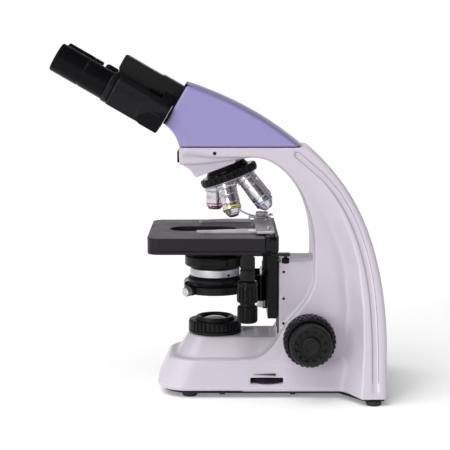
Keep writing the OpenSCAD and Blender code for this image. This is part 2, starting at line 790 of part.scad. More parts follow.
// Domed plate with a threaded seat, seat_wall thick, for each objective
module turret_plate() {
    color([0.62, 0.6, 0.63]) turret_frame() difference() {
        union() {
            difference() {
                union() {
                    translate([0, 0, -46.5]) cylinder(h = 8, r = 27.9);
                    rotate_extrude() polygon([[0, -53.5], [12, -53.5], [30.2, -47.4], [30.2, -46.2],
                        [27.9, -46.2], [27.9, -46], [0, -46]]);
                }
                translate([0, 0, -46.5]) cylinder(h = 10, r = 24);
            }
            intersection() {
                for (k = [0:turret_slots - 1]) station(k) translate([0, 0, -seat_s])
                    cylinder(h = seat_wall, r = 11.6);
                union() {
                    translate([0, 0, -60]) cylinder(h = 13.4, r = 40);
                    translate([0, 0, -48]) cylinder(h = 12, r = 27.9);
                }
            }
        }
        translate([0, 0, -56]) cylinder(h = 12, r = 5.06);
        for (k = [0:turret_slots - 1]) station(k) {
            translate([0, 0, -seat_s + seat_wall]) cylinder(h = 12, r = 11.2);
            translate([0, 0, -seat_s - 1]) cylinder(h = 20, r = objective_thread_r);
            translate([0, 0, -seat_s - 8]) cylinder(h = 8, r = 11.2);
        }
    }
}

// Objective drawn below its seat: collar, barrel, coned nose, with the thread above the seat
module objective(len, body_r, nose_r, cone) {
    translate([0, 0, -seat_s]) difference() {
        rotate_extrude() polygon([[0, 3.8], [9.9, 3.8], [9.9, 0], [10.9, 0], [10.9, -5], [9.9, -6],
            [body_r, -7], [body_r, -len + cone], [nose_r + 1, -len + 1.2], [nose_r, -len], [0, -len]]);
        translate([0, 0, -len - 1]) cylinder(h = len + 8, r = nose_r * 0.4);
    }
}

module objective_4x() { color([0.75, 0.74, 0.77]) turret_frame() station(0) objective(24, 9.6, 6, 4); }

module objective_10x() { color([0.75, 0.74, 0.77]) turret_frame() station(1) objective(36, 10.1, 4.5, 7); }

module objective_40x() { color([0.75, 0.74, 0.77]) turret_frame() station(2) objective(43.4, 10.3, 4, 7); }

module objective_100x() { color([0.75, 0.74, 0.77]) turret_frame() station(3) objective(43.8, 10.3, 3.5, 8); }

// ---------- viewing head ----------

// Frame on the head's sloping face: X across, Y up the face, Z towards the user's eye
module eye_frame() { on_axis() translate([0, hinge_y, hinge_z]) rotate([90 - eye_tilt, 0, 0]) children(); }

// Side outline of the head: concave throat, sloping face, roof and tail
module head_outline() {
    polygon(concat(bezier([-37, seam_z + 0.6], [-39, 276], [-44, 285], [-53.2, 292.317], 8),
        bezier([-28.27, 335.5], [5, 325.4], [46.7, 306], [90, seam_z + 2.6], 16), [[89, seam_z + 0.6]]));
}

// Housing of the head with the round dovetail that sits in the arm
module head_housing() {
    color([0.58, 0.55, 0.76]) on_axis() difference() {
        union() {
            side_plate(-arm_half_w, arm_half_w) head_outline();
            rod_z(261, seam_z + 2, 24.94);
        }
        side_plate(-30, 30)
            polygon([[-30, seam_z + 7], [-42, 292], [-30, 318], [20, 302], [56, seam_z + 7]]);
        rod_z(255, 290, 12);
        translate([0, hinge_y, hinge_z]) rotate([90 - eye_tilt, 0, 0]) translate([0, 0, -16])
            cylinder(h = 30, r = 12);
    }
}

// Prism block that bends the light towards the eyepieces, on its bracket
module head_prism() {
    color([0.8, 0.85, 0.9, 0.5]) on_axis() side_plate(-16, 16)
        polygon([[-16, seam_z + 7], [16, seam_z + 7], [22, 286], [-12, 304], [-24, 296]]);
}

// Cover plate on the sloping face with the pivot tube of the two arms
module front_plate() {
    color([0.06, 0.06, 0.07]) eye_frame() difference() {
        union() {
            translate([-33, -26.5, 0]) cube([66, 49, 2.4]);
            translate([0, 0, 2.3]) cylinder(h = 33.7, r = 8);
        }
        translate([0, 0, -1]) cylinder(h = 40, r = 6.5);
    }
}

// Cover over the pivot, between the two tubes
module bridge_cover() {
    color([0.07, 0.07, 0.08]) eye_frame() difference() {
        translate([-14.6, 0.6, 2.4]) cube([29.2, 15.4, 71.3]);
        translate([-16, -1, 2]) cube([32, 14.3, 35]);
        translate([-11.5, -2, 40]) cube([23, 15, 31]);
    }
}

// Arm, prism box and tube of the right eyepiece; u0 is where its pivot ring starts
module tube_housing(u0) {
    difference() {
        union() {
            translate([0, 0, u0]) cylinder(h = 14, r = 12.5);
            translate([0, 0, u0]) linear_extrude(14)
                polygon([[-4, -11.5], [6, 10.5], [18, 0.5], [40, -8.5], [40, -30], [14, -30]]);
            translate([13, -37.5, 3.2]) cube([36, 29, 46]);
            translate([half_ipd, -tube_drop, 49]) cylinder(h = 24, r = 17.2);
        }
        translate([0, 0, -1]) cylinder(h = 80, r = 8.06);
        // pocket for the prism and the bore of the tube
        translate([18, -34, 8]) cube([26, 22, 36]);
        translate([half_ipd, -tube_drop, 30]) cylinder(h = 60, r = 12.1);
    }
}

module right_tube() { color([0.07, 0.07, 0.08]) eye_frame() tube_housing(3.2); }

module left_tube() { color([0.07, 0.07, 0.08]) eye_frame() mirror([1, 0, 0]) tube_housing(18); }

// Eyepiece: sleeve in the tube, barrel and eyecup with a dished end
module eyepiece(start_u) {
    difference() {
        rotate_extrude() polygon([[0, 66], [11.6, 66], [11.6, start_u], [eyepiece_r - 1, start_u],
            [eyepiece_r, start_u + 1], [eyepiece_r, 101], [eyepiece_r - 0.7, 101.6], [eyepiece_r - 0.7, 103],
            [eyepiece_r, 103.6], [eyepiece_r, eye_end_u - 3], [eyepiece_r - 3, eye_end_u], [12, eye_end_u],
            [9, eye_end_u - 5], [0, eye_end_u - 5]]);
        translate([0, 0, 60]) cylinder(h = eye_end_u - 60 - 10, r = 8);
    }
}

module right_eyepiece() {
    color([0.05, 0.05, 0.06]) eye_frame() translate([half_ipd, -tube_drop, 0]) eyepiece(73);
}

module left_eyepiece() {
    color([0.05, 0.05, 0.06]) eye_frame() translate([-half_ipd, -tube_drop, 0]) eyepiece(91.5);
}

module diopter_ring() {
    color([0.06, 0.06, 0.07]) eye_frame() translate([-half_ipd, -tube_drop, 73.4])
        fluted_grip(15, 17.2, 11.9, 40, 0.7);
}

stand_casting();
bottom_plate();
rubber_feet();
plate_screws();
field_lens_mount();
field_lens();
fold_mirror();
collector_lens();
led_module();
power_board();
power_inlet();
power_switch();
guide_rails();
set_screws();
focus_bushes();
nosepiece_mount();
nosepiece_hub();
arm_port_cap();
field_diaphragm_ring();
dimmer_wheel();
coarse_shaft();
coarse_knob_right();
coarse_knob_left();
fine_knob_right();
fine_knob_left();
tension_collar();
focus_slide();
stage_base();
condenser_rail();
stage_top();
holder_rail();
knob_housing();
drive_belt();
stage_y_knob();
stage_x_knob();
specimen_holder();
holder_lever();
condenser_fork();
condenser_body();
condenser_lens();
condenser_stop_screw();
aperture_ring();
condenser_knob();
centering_screw_right();
centering_screw_left();
turret_ring();
turret_plate();
objective_4x();
objective_10x();
objective_40x();
objective_100x();
head_housing();
head_prism();
front_plate();
bridge_cover();
right_tube();
right_eyepiece();
left_tube();
diopter_ring();
left_eyepiece();
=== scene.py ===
"""Upright laboratory microscope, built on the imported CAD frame.

Shapes are written in millimetres in the instrument's own coordinates: the optical axis is X = 0, Y = 0,
+Z is up and the user sits at -Y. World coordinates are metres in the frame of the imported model.
"""
import functools
import math
import bmesh
import bpy
import numpy as np
from mathutils import Matrix, Vector


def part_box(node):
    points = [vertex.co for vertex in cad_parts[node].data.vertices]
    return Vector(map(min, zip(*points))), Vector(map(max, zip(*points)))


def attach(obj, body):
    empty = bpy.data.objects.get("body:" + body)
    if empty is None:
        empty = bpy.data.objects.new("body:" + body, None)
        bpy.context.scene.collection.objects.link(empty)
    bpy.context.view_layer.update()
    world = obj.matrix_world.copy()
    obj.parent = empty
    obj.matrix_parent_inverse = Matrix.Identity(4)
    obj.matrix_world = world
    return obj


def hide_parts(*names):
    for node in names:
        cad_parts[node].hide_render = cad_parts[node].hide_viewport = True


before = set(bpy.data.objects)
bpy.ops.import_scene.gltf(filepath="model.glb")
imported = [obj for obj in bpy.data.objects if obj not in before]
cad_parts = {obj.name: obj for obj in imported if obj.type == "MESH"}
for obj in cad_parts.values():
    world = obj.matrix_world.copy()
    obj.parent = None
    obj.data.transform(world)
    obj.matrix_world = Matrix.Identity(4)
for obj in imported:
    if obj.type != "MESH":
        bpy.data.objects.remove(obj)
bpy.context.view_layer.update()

MM = 0.001
low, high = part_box("objective_4x")
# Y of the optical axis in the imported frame, which is centred on the model's box
AXIS_Y = (low.y + high.y) / 2 / MM
# Tops of the stand's steps, the lower tier's plan and how far its walls lean, and the focus shaft's centre
TIER_Z, DECK_Z, SEAM_Z = 40.3, 61.0, 268.0
TIER_HALF, TIER_FRONT, TIER_LEAN = 59.5, -62.6, 0.34
SHAFT_Y, SHAFT_Z = 101, 65
EYE_TILT, TURRET_TILT = 60, 21
# Axis of each viewing tube in the eyepieces' frame
TUBE_X, TUBE_V = 31, -21.4
STAGE_Z, STAGE_FRONT, STAGE_REAR, STAGE_HALF = 176, -71, 54, 75
OBJECTIVE_ANGLE, OBJECTIVE_REACH = 72, 54
# Bottom and top of the holder's fingers, of the lever's web and of the condenser's slide block
FINGER_Z, WEB_Z, BLOCK_Z = (176.9, 179.8), (181.6, 183.2), (100, 128)
SIDES = ((1, "right"), (-1, "left"))


def rot(degrees, axis):
    return Matrix.Rotation(math.radians(degrees), 4, axis)


def move(x, y, z):
    return Matrix.Translation((x, y, z))


# Local frames: eyepieces (Z towards the eye), nosepiece (Z up its axis), focus shaft (Z to +X), stage knobs
EYE = move(0, -39.7, 315.7) @ rot(EYE_TILT, "X")
TURRET = move(0, 0, 276) @ rot(TURRET_TILT, "X")
FOCUS = move(0, SHAFT_Y, SHAFT_Z) @ rot(90, "Y")
KNOB_AT = move(58, 35, 0)
# Frames for outlines drawn in Y-Z and extruded along X, and drawn in X-Z and extruded along Y
SIDE = Matrix(((0, 0, 1, 0), (1, 0, 0, 0), (0, 1, 0, 0), (0, 0, 0, 1)))
FRONT = Matrix(((1, 0, 0, 0), (0, 0, 1, 0), (0, 1, 0, 0), (0, 0, 0, 1)))


def station(k):
    """Frame of objective k, Z up its axis."""
    return TURRET @ rot(OBJECTIVE_ANGLE * k, "Z") @ rot(-TURRET_TILT, "X")


# ---------- materials ----------

class Nodes:
    """Small helper that adds shader nodes to one material."""

    def __init__(self, name):
        self.material = bpy.data.materials.new(name)
        self.material.use_nodes = True
        self.tree = self.material.node_tree
        self.shader = self.tree.nodes["Principled BSDF"]
        self.where = self.add("ShaderNodeTexCoord").outputs["Object"]

    def add(self, kind, **inputs):
        node = self.tree.nodes.new(kind)
        for key, value in inputs.items():
            self.put(node, key, value)
        return node

    def put(self, node, key, value):
        socket = node.inputs[key.replace("_", " ")]
        if isinstance(value, bpy.types.NodeSocket):
            self.tree.links.new(value, socket)
        else:
            socket.default_value = value

    def stretched(self, scale):
        node = self.add("ShaderNodeMapping", Vector=self.where)
        node.inputs["Scale"].default_value = scale
        return node.outputs["Vector"]

    def noise(self, scale, detail=3.0, stretch=None):
        where = self.stretched(stretch) if stretch else self.where
        node = self.add("ShaderNodeTexNoise", Vector=where, Scale=scale, Detail=detail)
        return node.outputs["Fac"]

    def ramp(self, fac, stops):
        node = self.add("ShaderNodeValToRGB", Fac=fac)
        band = node.color_ramp
        while len(band.elements) < len(stops):
            band.elements.new(0.5)
        for element, (place, value) in zip(band.elements, stops):
            element.position = place
            element.color = value if len(value) == 4 else (*value, 1)
        return node.outputs["Color"]

    def grey_ramp(self, fac, a, b, low=0.3, high=0.7):
        return self.ramp(fac, [(low, (a, a, a)), (high, (b, b, b))])

    def bump(self, height, strength, distance=0.0004, normal=None):
        node = self.add("ShaderNodeBump", Height=height, Strength=strength, Distance=distance)
        if normal:
            self.put(node, "Normal", normal)
        return node.outputs["Normal"]

    def set(self, **inputs):
        for key, value in inputs.items():
            self.put(self.shader, key, value)


def tint(colour, factor):
    return tuple(min(1.0, c * factor) for c in colour[:3]) + (1,)


def coated(name, colour, rough, peel=0.08, coat=0.0, grain=900.0, wear=0.0, vary=0.03, gloss=0.5):
    """Paint, enamel or moulded plastic: slight colour drift, orange peel, uneven gloss and rubbed spots."""
    n = Nodes(name)
    drift = n.noise(9.0, 2.0)
    base = n.ramp(drift, [(0.3, tint(colour, 1 - vary)), (0.7, tint(colour, 1 + vary))])
    if wear:
        spots = n.ramp(n.noise(60.0, 6.0), [(0.62, (0, 0, 0)), (0.72, (wear, wear, wear))])
        mix = n.add("ShaderNodeMix")
        mix.data_type = "RGBA"
        n.tree.links.new(spots, mix.inputs["Factor"])
        n.tree.links.new(base, mix.inputs["A"])
        mix.inputs["B"].default_value = tint(colour, 1.7)
        base = mix.outputs["Result"]
    smear = n.noise(38.0, 5.0)
    fine = n.noise(grain, 2.0)
    wave = n.noise(grain / 6, 1.0)
    normal = n.bump(wave, peel * 0.6, 0.0005, n.bump(fine, peel, 0.00012))
    n.set(Base_Color=base, Roughness=n.grey_ramp(smear, rough * 0.85, rough * 1.18), Normal=normal)
    n.set(Metallic=0.0, Coat_Weight=coat, Coat_Roughness=0.12, Specular_IOR_Level=gloss)
    return n.material


def turned_metal(name, colour, rough, stretch, depth=0.05, aniso=0.3):
    """Turned, brushed or plated metal: fine directional lines, faint smears and uneven polish."""
    n = Nodes(name)
    lines = n.noise(60.0, 4.0, stretch)
    smear = n.noise(45.0, 5.0)
    base = n.ramp(smear, [(0.3, tint(colour, 0.93)), (0.7, tint(colour, 1.04))])
    n.set(Base_Color=base, Roughness=n.grey_ramp(lines, rough * 0.7, rough * 1.35),
          Normal=n.bump(lines, depth, 0.0002))
    n.set(Metallic=1.0, Anisotropic=aniso)
    return n.material


def lens_glass(name, colour):
    n = Nodes(name)
    haze = n.noise(120.0, 4.0)
    base = n.ramp(haze, [(0.3, tint(colour, 0.9)), (0.7, tint(colour, 1.1))])
    n.set(Base_Color=base, Roughness=n.grey_ramp(haze, 0.02, 0.07), Normal=n.bump(haze, 0.01))
    n.set(IOR=1.6, Coat_Weight=1.0, Coat_Roughness=0.03, Transmission_Weight=0.35)
    return n.material


AROUND_Z = (0.15, 0.15, 14.0)
ALONG_X = (0.15, 14.0, 14.0)
MATS = {
    "stand_paint": coated("stand_enamel", (0.575, 0.525, 0.60), 0.34, 0.05, coat=0.2, vary=0.012),
    "head_paint": coated("head_enamel", (0.275, 0.245, 0.50), 0.33, 0.05, coat=0.2, vary=0.02),
    "base_black": coated("black_satin_paint", (0.012, 0.012, 0.013), 0.38, 0.12, wear=0.25, gloss=0.16),
    "slide_black": coated("black_slide_paint", (0.010, 0.010, 0.011), 0.34, 0.14, wear=0.25, gloss=0.14),
    "tube_black": coated("black_moulding", (0.008, 0.0075, 0.009), 0.34, 0.22, grain=1500.0, vary=0.1,
                         gloss=0.14),
    "eyepiece_black": coated("eyepiece_black", (0.004, 0.004, 0.005), 0.26, 0.10, grain=1300.0, gloss=0.08),
    "black_grip": coated("black_grip", (0.006, 0.006, 0.007), 0.30, 0.16, grain=1200.0, wear=0.3, gloss=0.14),
    "fine_knob_paint": coated("fine_knob_black", (0.010, 0.010, 0.011), 0.36, 0.14, wear=0.2, gloss=0.16),
    "stage_coating": coated("stage_ceramic", (0.016, 0.0135, 0.017), 0.34, 0.16, grain=1700.0, wear=0.15,
                            gloss=0.16),
    "rubber": coated("rubber", (0.013, 0.013, 0.013), 0.75, 0.35, grain=700.0),
    "belt_rubber": coated("belt_rubber", (0.02, 0.02, 0.02), 0.7, 0.3),
    "screw_steel": turned_metal("blackened_steel", (0.05, 0.05, 0.055), 0.42, AROUND_Z),
    "lens_glass": lens_glass("coated_glass", (0.16, 0.12, 0.22)),
    "field_glass": lens_glass("frosted_glass", (0.80, 0.80, 0.84)),
    "mirror_glass": turned_metal("front_mirror", (0.85, 0.86, 0.9), 0.04, ALONG_X, 0.0),
    "heat_sink": turned_metal("heat_sink", (0.7, 0.7, 0.72), 0.35, ALONG_X),
    "circuit_board": coated("solder_mask", (0.02, 0.15, 0.07), 0.35, 0.1, vary=0.1),
    "socket_plastic": coated("socket_black", (0.018, 0.018, 0.02), 0.3, 0.12),
    "brass_bush": turned_metal("brass", (0.62, 0.46, 0.2), 0.3, ALONG_X),
    "steel": turned_metal("ground_steel", (0.5, 0.5, 0.52), 0.26, ALONG_X),
    "holder_metal": turned_metal("holder_steel", (0.60, 0.58, 0.62), 0.5, ALONG_X, 0.06),
    "knurled_metal": turned_metal("knurled_aluminium", (0.62, 0.60, 0.65), 0.42, AROUND_Z),
    "turret_metal": turned_metal("turret_chrome", (0.48, 0.46, 0.50), 0.24, AROUND_Z),
    "objective_chrome": turned_metal("objective_chrome", (0.66, 0.64, 0.68), 0.2, AROUND_Z, 0.05, 0.5),
    "cap_black": coated("cap_black", (0.008, 0.008, 0.009), 0.3, 0.08, gloss=0.14),
    # stage top: the stage coating's colour made lighter and glossier, painted light on the top face
    "stage_face": coated("painted_light_stage_face", (0.10, 0.083, 0.104), 0.42, 0.14, grain=1700.0, gloss=0.45),
    # darker lilac for thin strips along the grooves, painted shade of the groove edges
    "shade_line": coated("painted_groove_shade", (0.26, 0.23, 0.28), 0.5, 0.05),
    # darker grey for flush deck slats, painted shade for the vent slots
    "vent_grey": coated("vent_shade", (0.50, 0.46, 0.53), 0.5, 0.05),
    "print_black": coated("print_ink", (0.02, 0.02, 0.022), 0.45, 0.05),
}


# ---------- mesh helpers ----------

def to_world(points, matrix=None):
    """Instrument millimetres, after an optional local frame, to world metres."""
    points = np.asarray(points, float)
    if matrix is not None:
        m = np.array(matrix)
        points = points @ m[:3, :3].T + m[:3, 3]
    return (points + (0, AXIS_Y, 0)) * MM


def finish_object(name, mesh, material, body, node=None, angle=32):
    """Makes a piece of a mesh: its material, its body and the CAD node that it replaces."""
    mesh.name = name
    mesh.materials.append(MATS[material])
    obj = bpy.data.objects.new(name, mesh)
    bpy.context.scene.collection.objects.link(obj)
    mesh.shade_smooth()
    mesh.set_sharp_from_angle(angle=math.radians(angle))
    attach(obj, body)
    if node:
        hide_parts(node)
    return obj


def mesh_of(name, points, faces):
    mesh = bpy.data.meshes.new(name)
    mesh.from_pydata([tuple(p) for p in points], [], [tuple(f) for f in faces])
    return mesh


def fillet(points, radius, steps=3, closed=True):
    """Rounds every corner of an outline. A point may carry extra values, which are interpolated."""
    count = len(points)
    out = []
    for i, here in enumerate(points):
        here = np.array(here, float)
        if not closed and i in (0, count - 1):
            out.append(here)
            continue
        before, after = np.array(points[i - 1], float), np.array(points[(i + 1) % count], float)
        a, b = before[:2] - here[:2], after[:2] - here[:2]
        la, lb = np.linalg.norm(a), np.linalg.norm(b)
        turn = math.acos(max(-1, min(1, float(a @ b) / (la * lb)))) if la * lb else math.pi
        if turn > math.radians(170):
            out.append(here)
            continue
        cut = min(radius / max(math.tan(turn / 2), 0.2), 0.45 * la, 0.45 * lb)
        start, end = here + (before - here) * cut / la, here + (after - here) * cut / lb
        for j in range(steps + 1):
            t = j / steps
            out.append((1 - t) ** 2 * start + 2 * t * (1 - t) * here + t * t * end)
    return [tuple(p) for p in out]


def lathe(name, profile, material, body, place=None, node=None, round_to=0.35, ribs=0, depth=0.0, fill=0.62,
          segments=96):
    """Turns a profile of (radius, height, rib weight) around Z, with ribs cut where the weight is 1.

    A profile that ends on the axis stays open there, and any other is closed into a ring.
    """
    profile = [tuple(p) + (0,) * (3 - len(p)) for p in profile]
    closed = profile[-1][0] > 1e-6
    rim = np.array(fillet(profile, round_to, closed=closed))
    per_rib = 12
    seg = ribs * per_rib if ribs else segments
    theta = np.arange(seg) * 2 * math.pi / seg
    phase = (np.arange(seg) % per_rib) / per_rib if ribs else np.zeros(seg)
    groove = np.clip((np.abs(phase - 0.5) - fill / 2) / 0.08, 0, 1)
    radius = rim[:, 0][:, None] - depth * rim[:, 2][:, None] * groove[None, :]
    radius = np.maximum(radius, 0)
    x, y = radius * np.cos(theta), radius * np.sin(theta)
    z = np.repeat(rim[:, 1][:, None], seg, 1)
    points = np.stack([x, y, z], -1).reshape(-1, 3)
    rows = len(rim)
    faces = []
    for i in range(rows if closed else rows - 1):
        a, b = i * seg, ((i + 1) % rows) * seg
        for j in range(seg):
            k = (j + 1) % seg
            faces.append((a + j, a + k, b + k, b + j))
    mesh = mesh_of(name, to_world(points, place), faces)
    tidy(mesh)
    return finish_object(name, mesh, material, body, node)


def tidy(mesh, merge=2e-6):
    """Merges doubled points, drops empty faces and points the normals outwards."""
    bm = bmesh.new()
    bm.from_mesh(mesh)
    bmesh.ops.remove_doubles(bm, verts=bm.verts, dist=merge)
    bmesh.ops.dissolve_degenerate(bm, dist=1e-6, edges=bm.edges)
    bmesh.ops.recalc_face_normals(bm, faces=bm.faces)
    bm.to_mesh(mesh)
    bm.free()


def slab(outline, z0, z1, place=None, bevel=0.5, holes=()):
    """Extrudes an outline from z0 to z1 with bevelled edges; holes are outlines cut right through."""
    bm = bmesh.new()
    edges = []
    for loop in (outline, *holes):
        verts = [bm.verts.new((p[0], p[1], z0)) for p in loop]
        edges += [bm.edges.new((verts[i - 1], verts[i])) for i in range(len(verts))]
    bmesh.ops.triangle_fill(bm, use_beauty=True, use_dissolve=False, edges=edges)
    bmesh.ops.dissolve_limit(bm, angle_limit=0.01, verts=bm.verts, edges=bm.edges)
    top = bmesh.ops.extrude_face_region(bm, geom=bm.faces[:])
    bmesh.ops.translate(bm, verts=[v for v in top["geom"] if isinstance(v, bmesh.types.BMVert)],
                        vec=(0, 0, z1 - z0))
    bmesh.ops.recalc_face_normals(bm, faces=bm.faces)
    if bevel:
        sharp = [e for e in bm.edges if len(e.link_faces) == 2 and e.calc_face_angle(0) > 0.6]
        bmesh.ops.bevel(bm, geom=sharp, offset=bevel, segments=3, profile=0.7, affect="EDGES",
                        clamp_overlap=True)
    mesh = bpy.data.meshes.new("slab")
    bm.to_mesh(mesh)
    bm.free()
    points = np.array([v.co for v in mesh.vertices])
    mesh.vertices.foreach_set("co", to_world(points, place).ravel())
    if place is not None and Matrix(place).determinant() < 0:
        mesh.flip_normals()
    return mesh


def prism(name, outline, z0, z1, material, body, place=None, node=None, bevel=0.5, holes=()):
    """A slab that is a piece of its own."""
    return finish_object(name, slab(outline, z0, z1, place, bevel, holes), material, body, node)


def box_outline(x0, y0, x1, y1, radius=0.0, steps=6):
    corners = [(x0, y0), (x1, y0), (x1, y1), (x0, y1)]
    return fillet(corners, radius, steps) if radius else corners


def circle(radius, x=0.0, y=0.0, steps=48):
    turns = [2 * math.pi * i / steps for i in range(steps)]
    return [(x + radius * math.cos(w), y + radius * math.sin(w)) for w in turns]


def join(name, meshes, material, body, node=None):
    """Puts several meshes into one piece."""
    bm = bmesh.new()
    for mesh in meshes:
        bm.from_mesh(mesh)
        bpy.data.meshes.remove(mesh)
    whole = bpy.data.meshes.new(name)
    bm.to_mesh(whole)
    bm.free()
    return finish_object(name, whole, material, body, node)


# ---------- smooth solids from distance fields ----------

def smooth_union(a, b, r):
    """Union with a soft fillet of about r."""
    h = np.clip(0.5 + 0.5 * (b - a) / r, 0, 1)
    return b + (a - b) * h - r * h * (1 - h)


def meet(*parts):
    """Sharp intersection of several solids."""
    return functools.reduce(np.maximum, parts)


def round_cut(a, b, r):
    """Intersection with a true edge radius r."""
    return np.minimum(-r, np.maximum(a, b)) + np.hypot(np.maximum(a + r, 0), np.maximum(b + r, 0))


def inside_distance(points, u, v):
    """Signed distance to a closed polygon on a grid, negative inside."""
    best = np.full(u.shape, 1e9)
    wind = np.zeros(u.shape, bool)
    for (ax, ay), (bx, by) in zip(points, points[1:] + points[:1]):
        ex, ey = bx - ax, by - ay
        px, py = u - ax, v - ay
        t = np.clip((px * ex + py * ey) / (ex * ex + ey * ey + 1e-12), 0, 1)
        best = np.minimum(best, np.hypot(px - ex * t, py - ey * t))
        crosses = (ay > v) != (by > v)
        if ay != by:
            wind ^= crosses & (u < (bx - ax) * (v - ay) / (by - ay) + ax)
    return np.where(wind, -best, best)


def curve_distance(points, u, v):
    """Distance to an open polyline on a grid."""
    best = np.full(u.shape, 1e9)
    for (ax, ay), (bx, by) in zip(points, points[1:]):
        ex, ey = bx - ax, by - ay
        t = np.clip(((u - ax) * ex + (v - ay) * ey) / (ex * ex + ey * ey), 0, 1)
        best = np.minimum(best, np.hypot(u - ax - ex * t, v - ay - ey * t))
    return best


def surface_of(field, origin, step):
    """Closed quad mesh of a sampled field's zero level, with one vertex in each crossed cell."""
    inside = field < 0
    corner = [(i, j, k) for i in (0, 1) for j in (0, 1) for k in (0, 1)]
    shape = tuple(s - 1 for s in field.shape)

    def part(values, c):
        return values[c[0]:c[0] + shape[0], c[1]:c[1] + shape[1], c[2]:c[2] + shape[2]]

    count = sum(part(inside, c).astype(np.int8) for c in corner)
    active = (count > 0) & (count < 8)
    index = np.full(shape, -1, np.int64)
    index[active] = np.arange(active.sum())
    cells = np.argwhere(active)
    total, hits = np.zeros((len(cells), 3)), np.zeros(len(cells))
    for a in corner:
        for axis in range(3):
            if a[axis]:
                continue
            b = tuple(v + (n == axis) for n, v in enumerate(a))
            fa = field[tuple((cells + a).T)]
            fb = field[tuple((cells + b).T)]
            cross = (fa < 0) != (fb < 0)
            t = np.where(cross, fa / np.where(cross, fa - fb, 1), 0)
            at = np.tile(np.array(a, float), (len(cells), 1))
            at[:, axis] += t
            total += at * cross[:, None]
            hits += cross
    points = (cells + total / hits[:, None]) * step + origin
    faces = []
    for axis in range(3):
        u, v = [n for n in range(3) if n != axis]
        lo, hi = [slice(None)] * 3, [slice(None)] * 3
        lo[axis], hi[axis] = slice(0, -1), slice(1, None)
        fa, fb = inside[tuple(lo)], inside[tuple(hi)]
        edge = np.argwhere(fa != fb)
        ok = (edge[:, u] > 0) & (edge[:, v] > 0) & (edge[:, u] < shape[u]) & (edge[:, v] < shape[v])
        edge = edge[ok]
        quad = []
        for du, dv in ((1, 1), (0, 1), (0, 0), (1, 0)):
            cell = edge.copy()
            cell[:, u] -= du
            cell[:, v] -= dv
            quad.append(index[tuple(cell.T)])
        quad = np.stack(quad, 1)
        flip = fa[tuple(edge.T)] == (axis == 1)
        quad[flip] = quad[flip][:, ::-1]
        faces.append(quad)
    return points, np.concatenate(faces)


def field_mesh(name, field_of, lows, highs, step, material, body, place=None, node=None, angle=40):
    """Meshes field_of(x, y, z), a signed distance in millimetres, over a box of the given step."""
    axes = [np.arange(a - 1.5 * step, b + 2.5 * step, step) for a, b in zip(lows, highs)]
    x, y, z = np.meshgrid(*axes, indexing="ij", sparse=True)
    field = np.broadcast_to(field_of(x, y, z), tuple(len(a) for a in axes)).copy()
    points, faces = surface_of(field, np.array([a[0] for a in axes]), step)
    mesh = bpy.data.meshes.new(name)
    mesh.vertices.add(len(points))
    mesh.vertices.foreach_set("co", to_world(points, place).ravel())
    mesh.loops.add(faces.size)
    mesh.loops.foreach_set("vertex_index", faces.ravel().astype(np.int32))
    mesh.polygons.add(len(faces))
    mesh.polygons.foreach_set("loop_start", np.arange(0, faces.size, 4, dtype=np.int32))
    mesh.update(calc_edges=True)
    mesh.validate()
    return finish_object(name, mesh, material, body, node, angle)


# ---------- stand ----------

def bezier(a, b, c, d, steps=32):
    t = np.linspace(0, 1, steps + 1)[:, None]
    a, b, c, d = (np.array(p, float) for p in (a, b, c, d))
    curve = (1 - t) ** 3 * a + 3 * (1 - t) ** 2 * t * b + 3 * (1 - t) * t * t * c + t ** 3 * d
    return [tuple(p) for p in curve]


def arc(cy, cz, ry, rz, start, end, steps=28):
    w = np.radians(np.linspace(start, end, steps + 1))
    return [(cy + ry * math.cos(a), cz + rz * math.sin(a)) for a in w]


# Rear edge of the stand from the seam down to the floor
REAR = bezier((60, 297.5), (109.5, 264), (187, 216), (182.3, 50), 48)
REAR += [(182.2, 38), (182.1, 24), (182, 10)]
COLUMN_X, ARM_X, DECK_X = 29.5, 36.0, 29.0
# S-shaped crease between the raised flank and the column, from the tier's top edge up to the arch
CREASE = bezier((30, TIER_Z), (54, 40), (63, 52), (74, 72), 12)[:-1]
CREASE += bezier((74, 72), (82, 86), (107.6, 104), (107.6, 130), 16) + [(107.6, 158)]
# Profile of the raised flank: crease, arch, underside of the arm's end, rear and floor
FLANK = CREASE + arc(40, 158, 67.6, 99.5, 0, 90) + [(-38, 257), (-38, 296)] + REAR + [(182, -5), (30, -5)]
# Profile of the narrower core, which shows inside the arch and under the arm
CORE = [(112, -5), (112, 100), (105.5, 140)] + arc(40, 158, 65.5, 99, 0, 90)
CORE += [(18, 254), (-14, 250), (-38, 249), (-38, 296)] + REAR + [(182, -5)]
# Stations of the flared rear by height
FIN_Z = (0, 30, 64, 98, 143, 167, 200, 232, 257, 300)
FIN_X = (94, 86.5, 79, 68.5, 55, 49.2, 43.5, 40.2, 38, 36)
FIN_START_Y = (154, 156, 157.6, 157.5, 153.5, 147.5, 135, 117, 96, 50)
VALLEY_Y = (128, 135.5, 141, 143.2, 137.5, 130, 115, 94, 70, 20)
# Depth of the groove's centre below the rear edge, by height
GROOVE_Z = (17, 85, 131, 195, 225, 242, 260)
GROOVE_IN = (12.6, 13.1, 12.1, 11.1, 11.2, 11.9, 13.8)


def flank_half_width(y, z):
    """Half-width of the stand's flank: a waist that widens to the base and flares out to the rear fins."""
    under_tier = TIER_LEAN * (40 - np.maximum(z, 12)) - 2.0 * np.clip((40 - z) / 4, 0, 1)
    waist = np.where(z > 40, 36.4 + 13.6 * np.exp(-(z - 40) / 38), 50 + under_tier)
    fin_x = np.maximum(np.interp(z, FIN_Z, FIN_X), waist)
    start, valley = np.interp(z, FIN_Z, FIN_START_Y), np.interp(z, FIN_Z, VALLEY_Y)
    t = np.clip((y - valley) / (start - valley), 0, 1)
    width = waist + (fin_x - waist) * (1 - np.cos(t * math.pi / 2))
    dip = np.interp(z, (12, 40, 60, 120, 200, 235), (0.5, 3.6, 4.2, 3.4, 1.4, 0))
    width = width - dip * np.exp(-((y - valley - 3) / 8.5) ** 2)
    return width - 0.02 * np.maximum(y - start, 0)


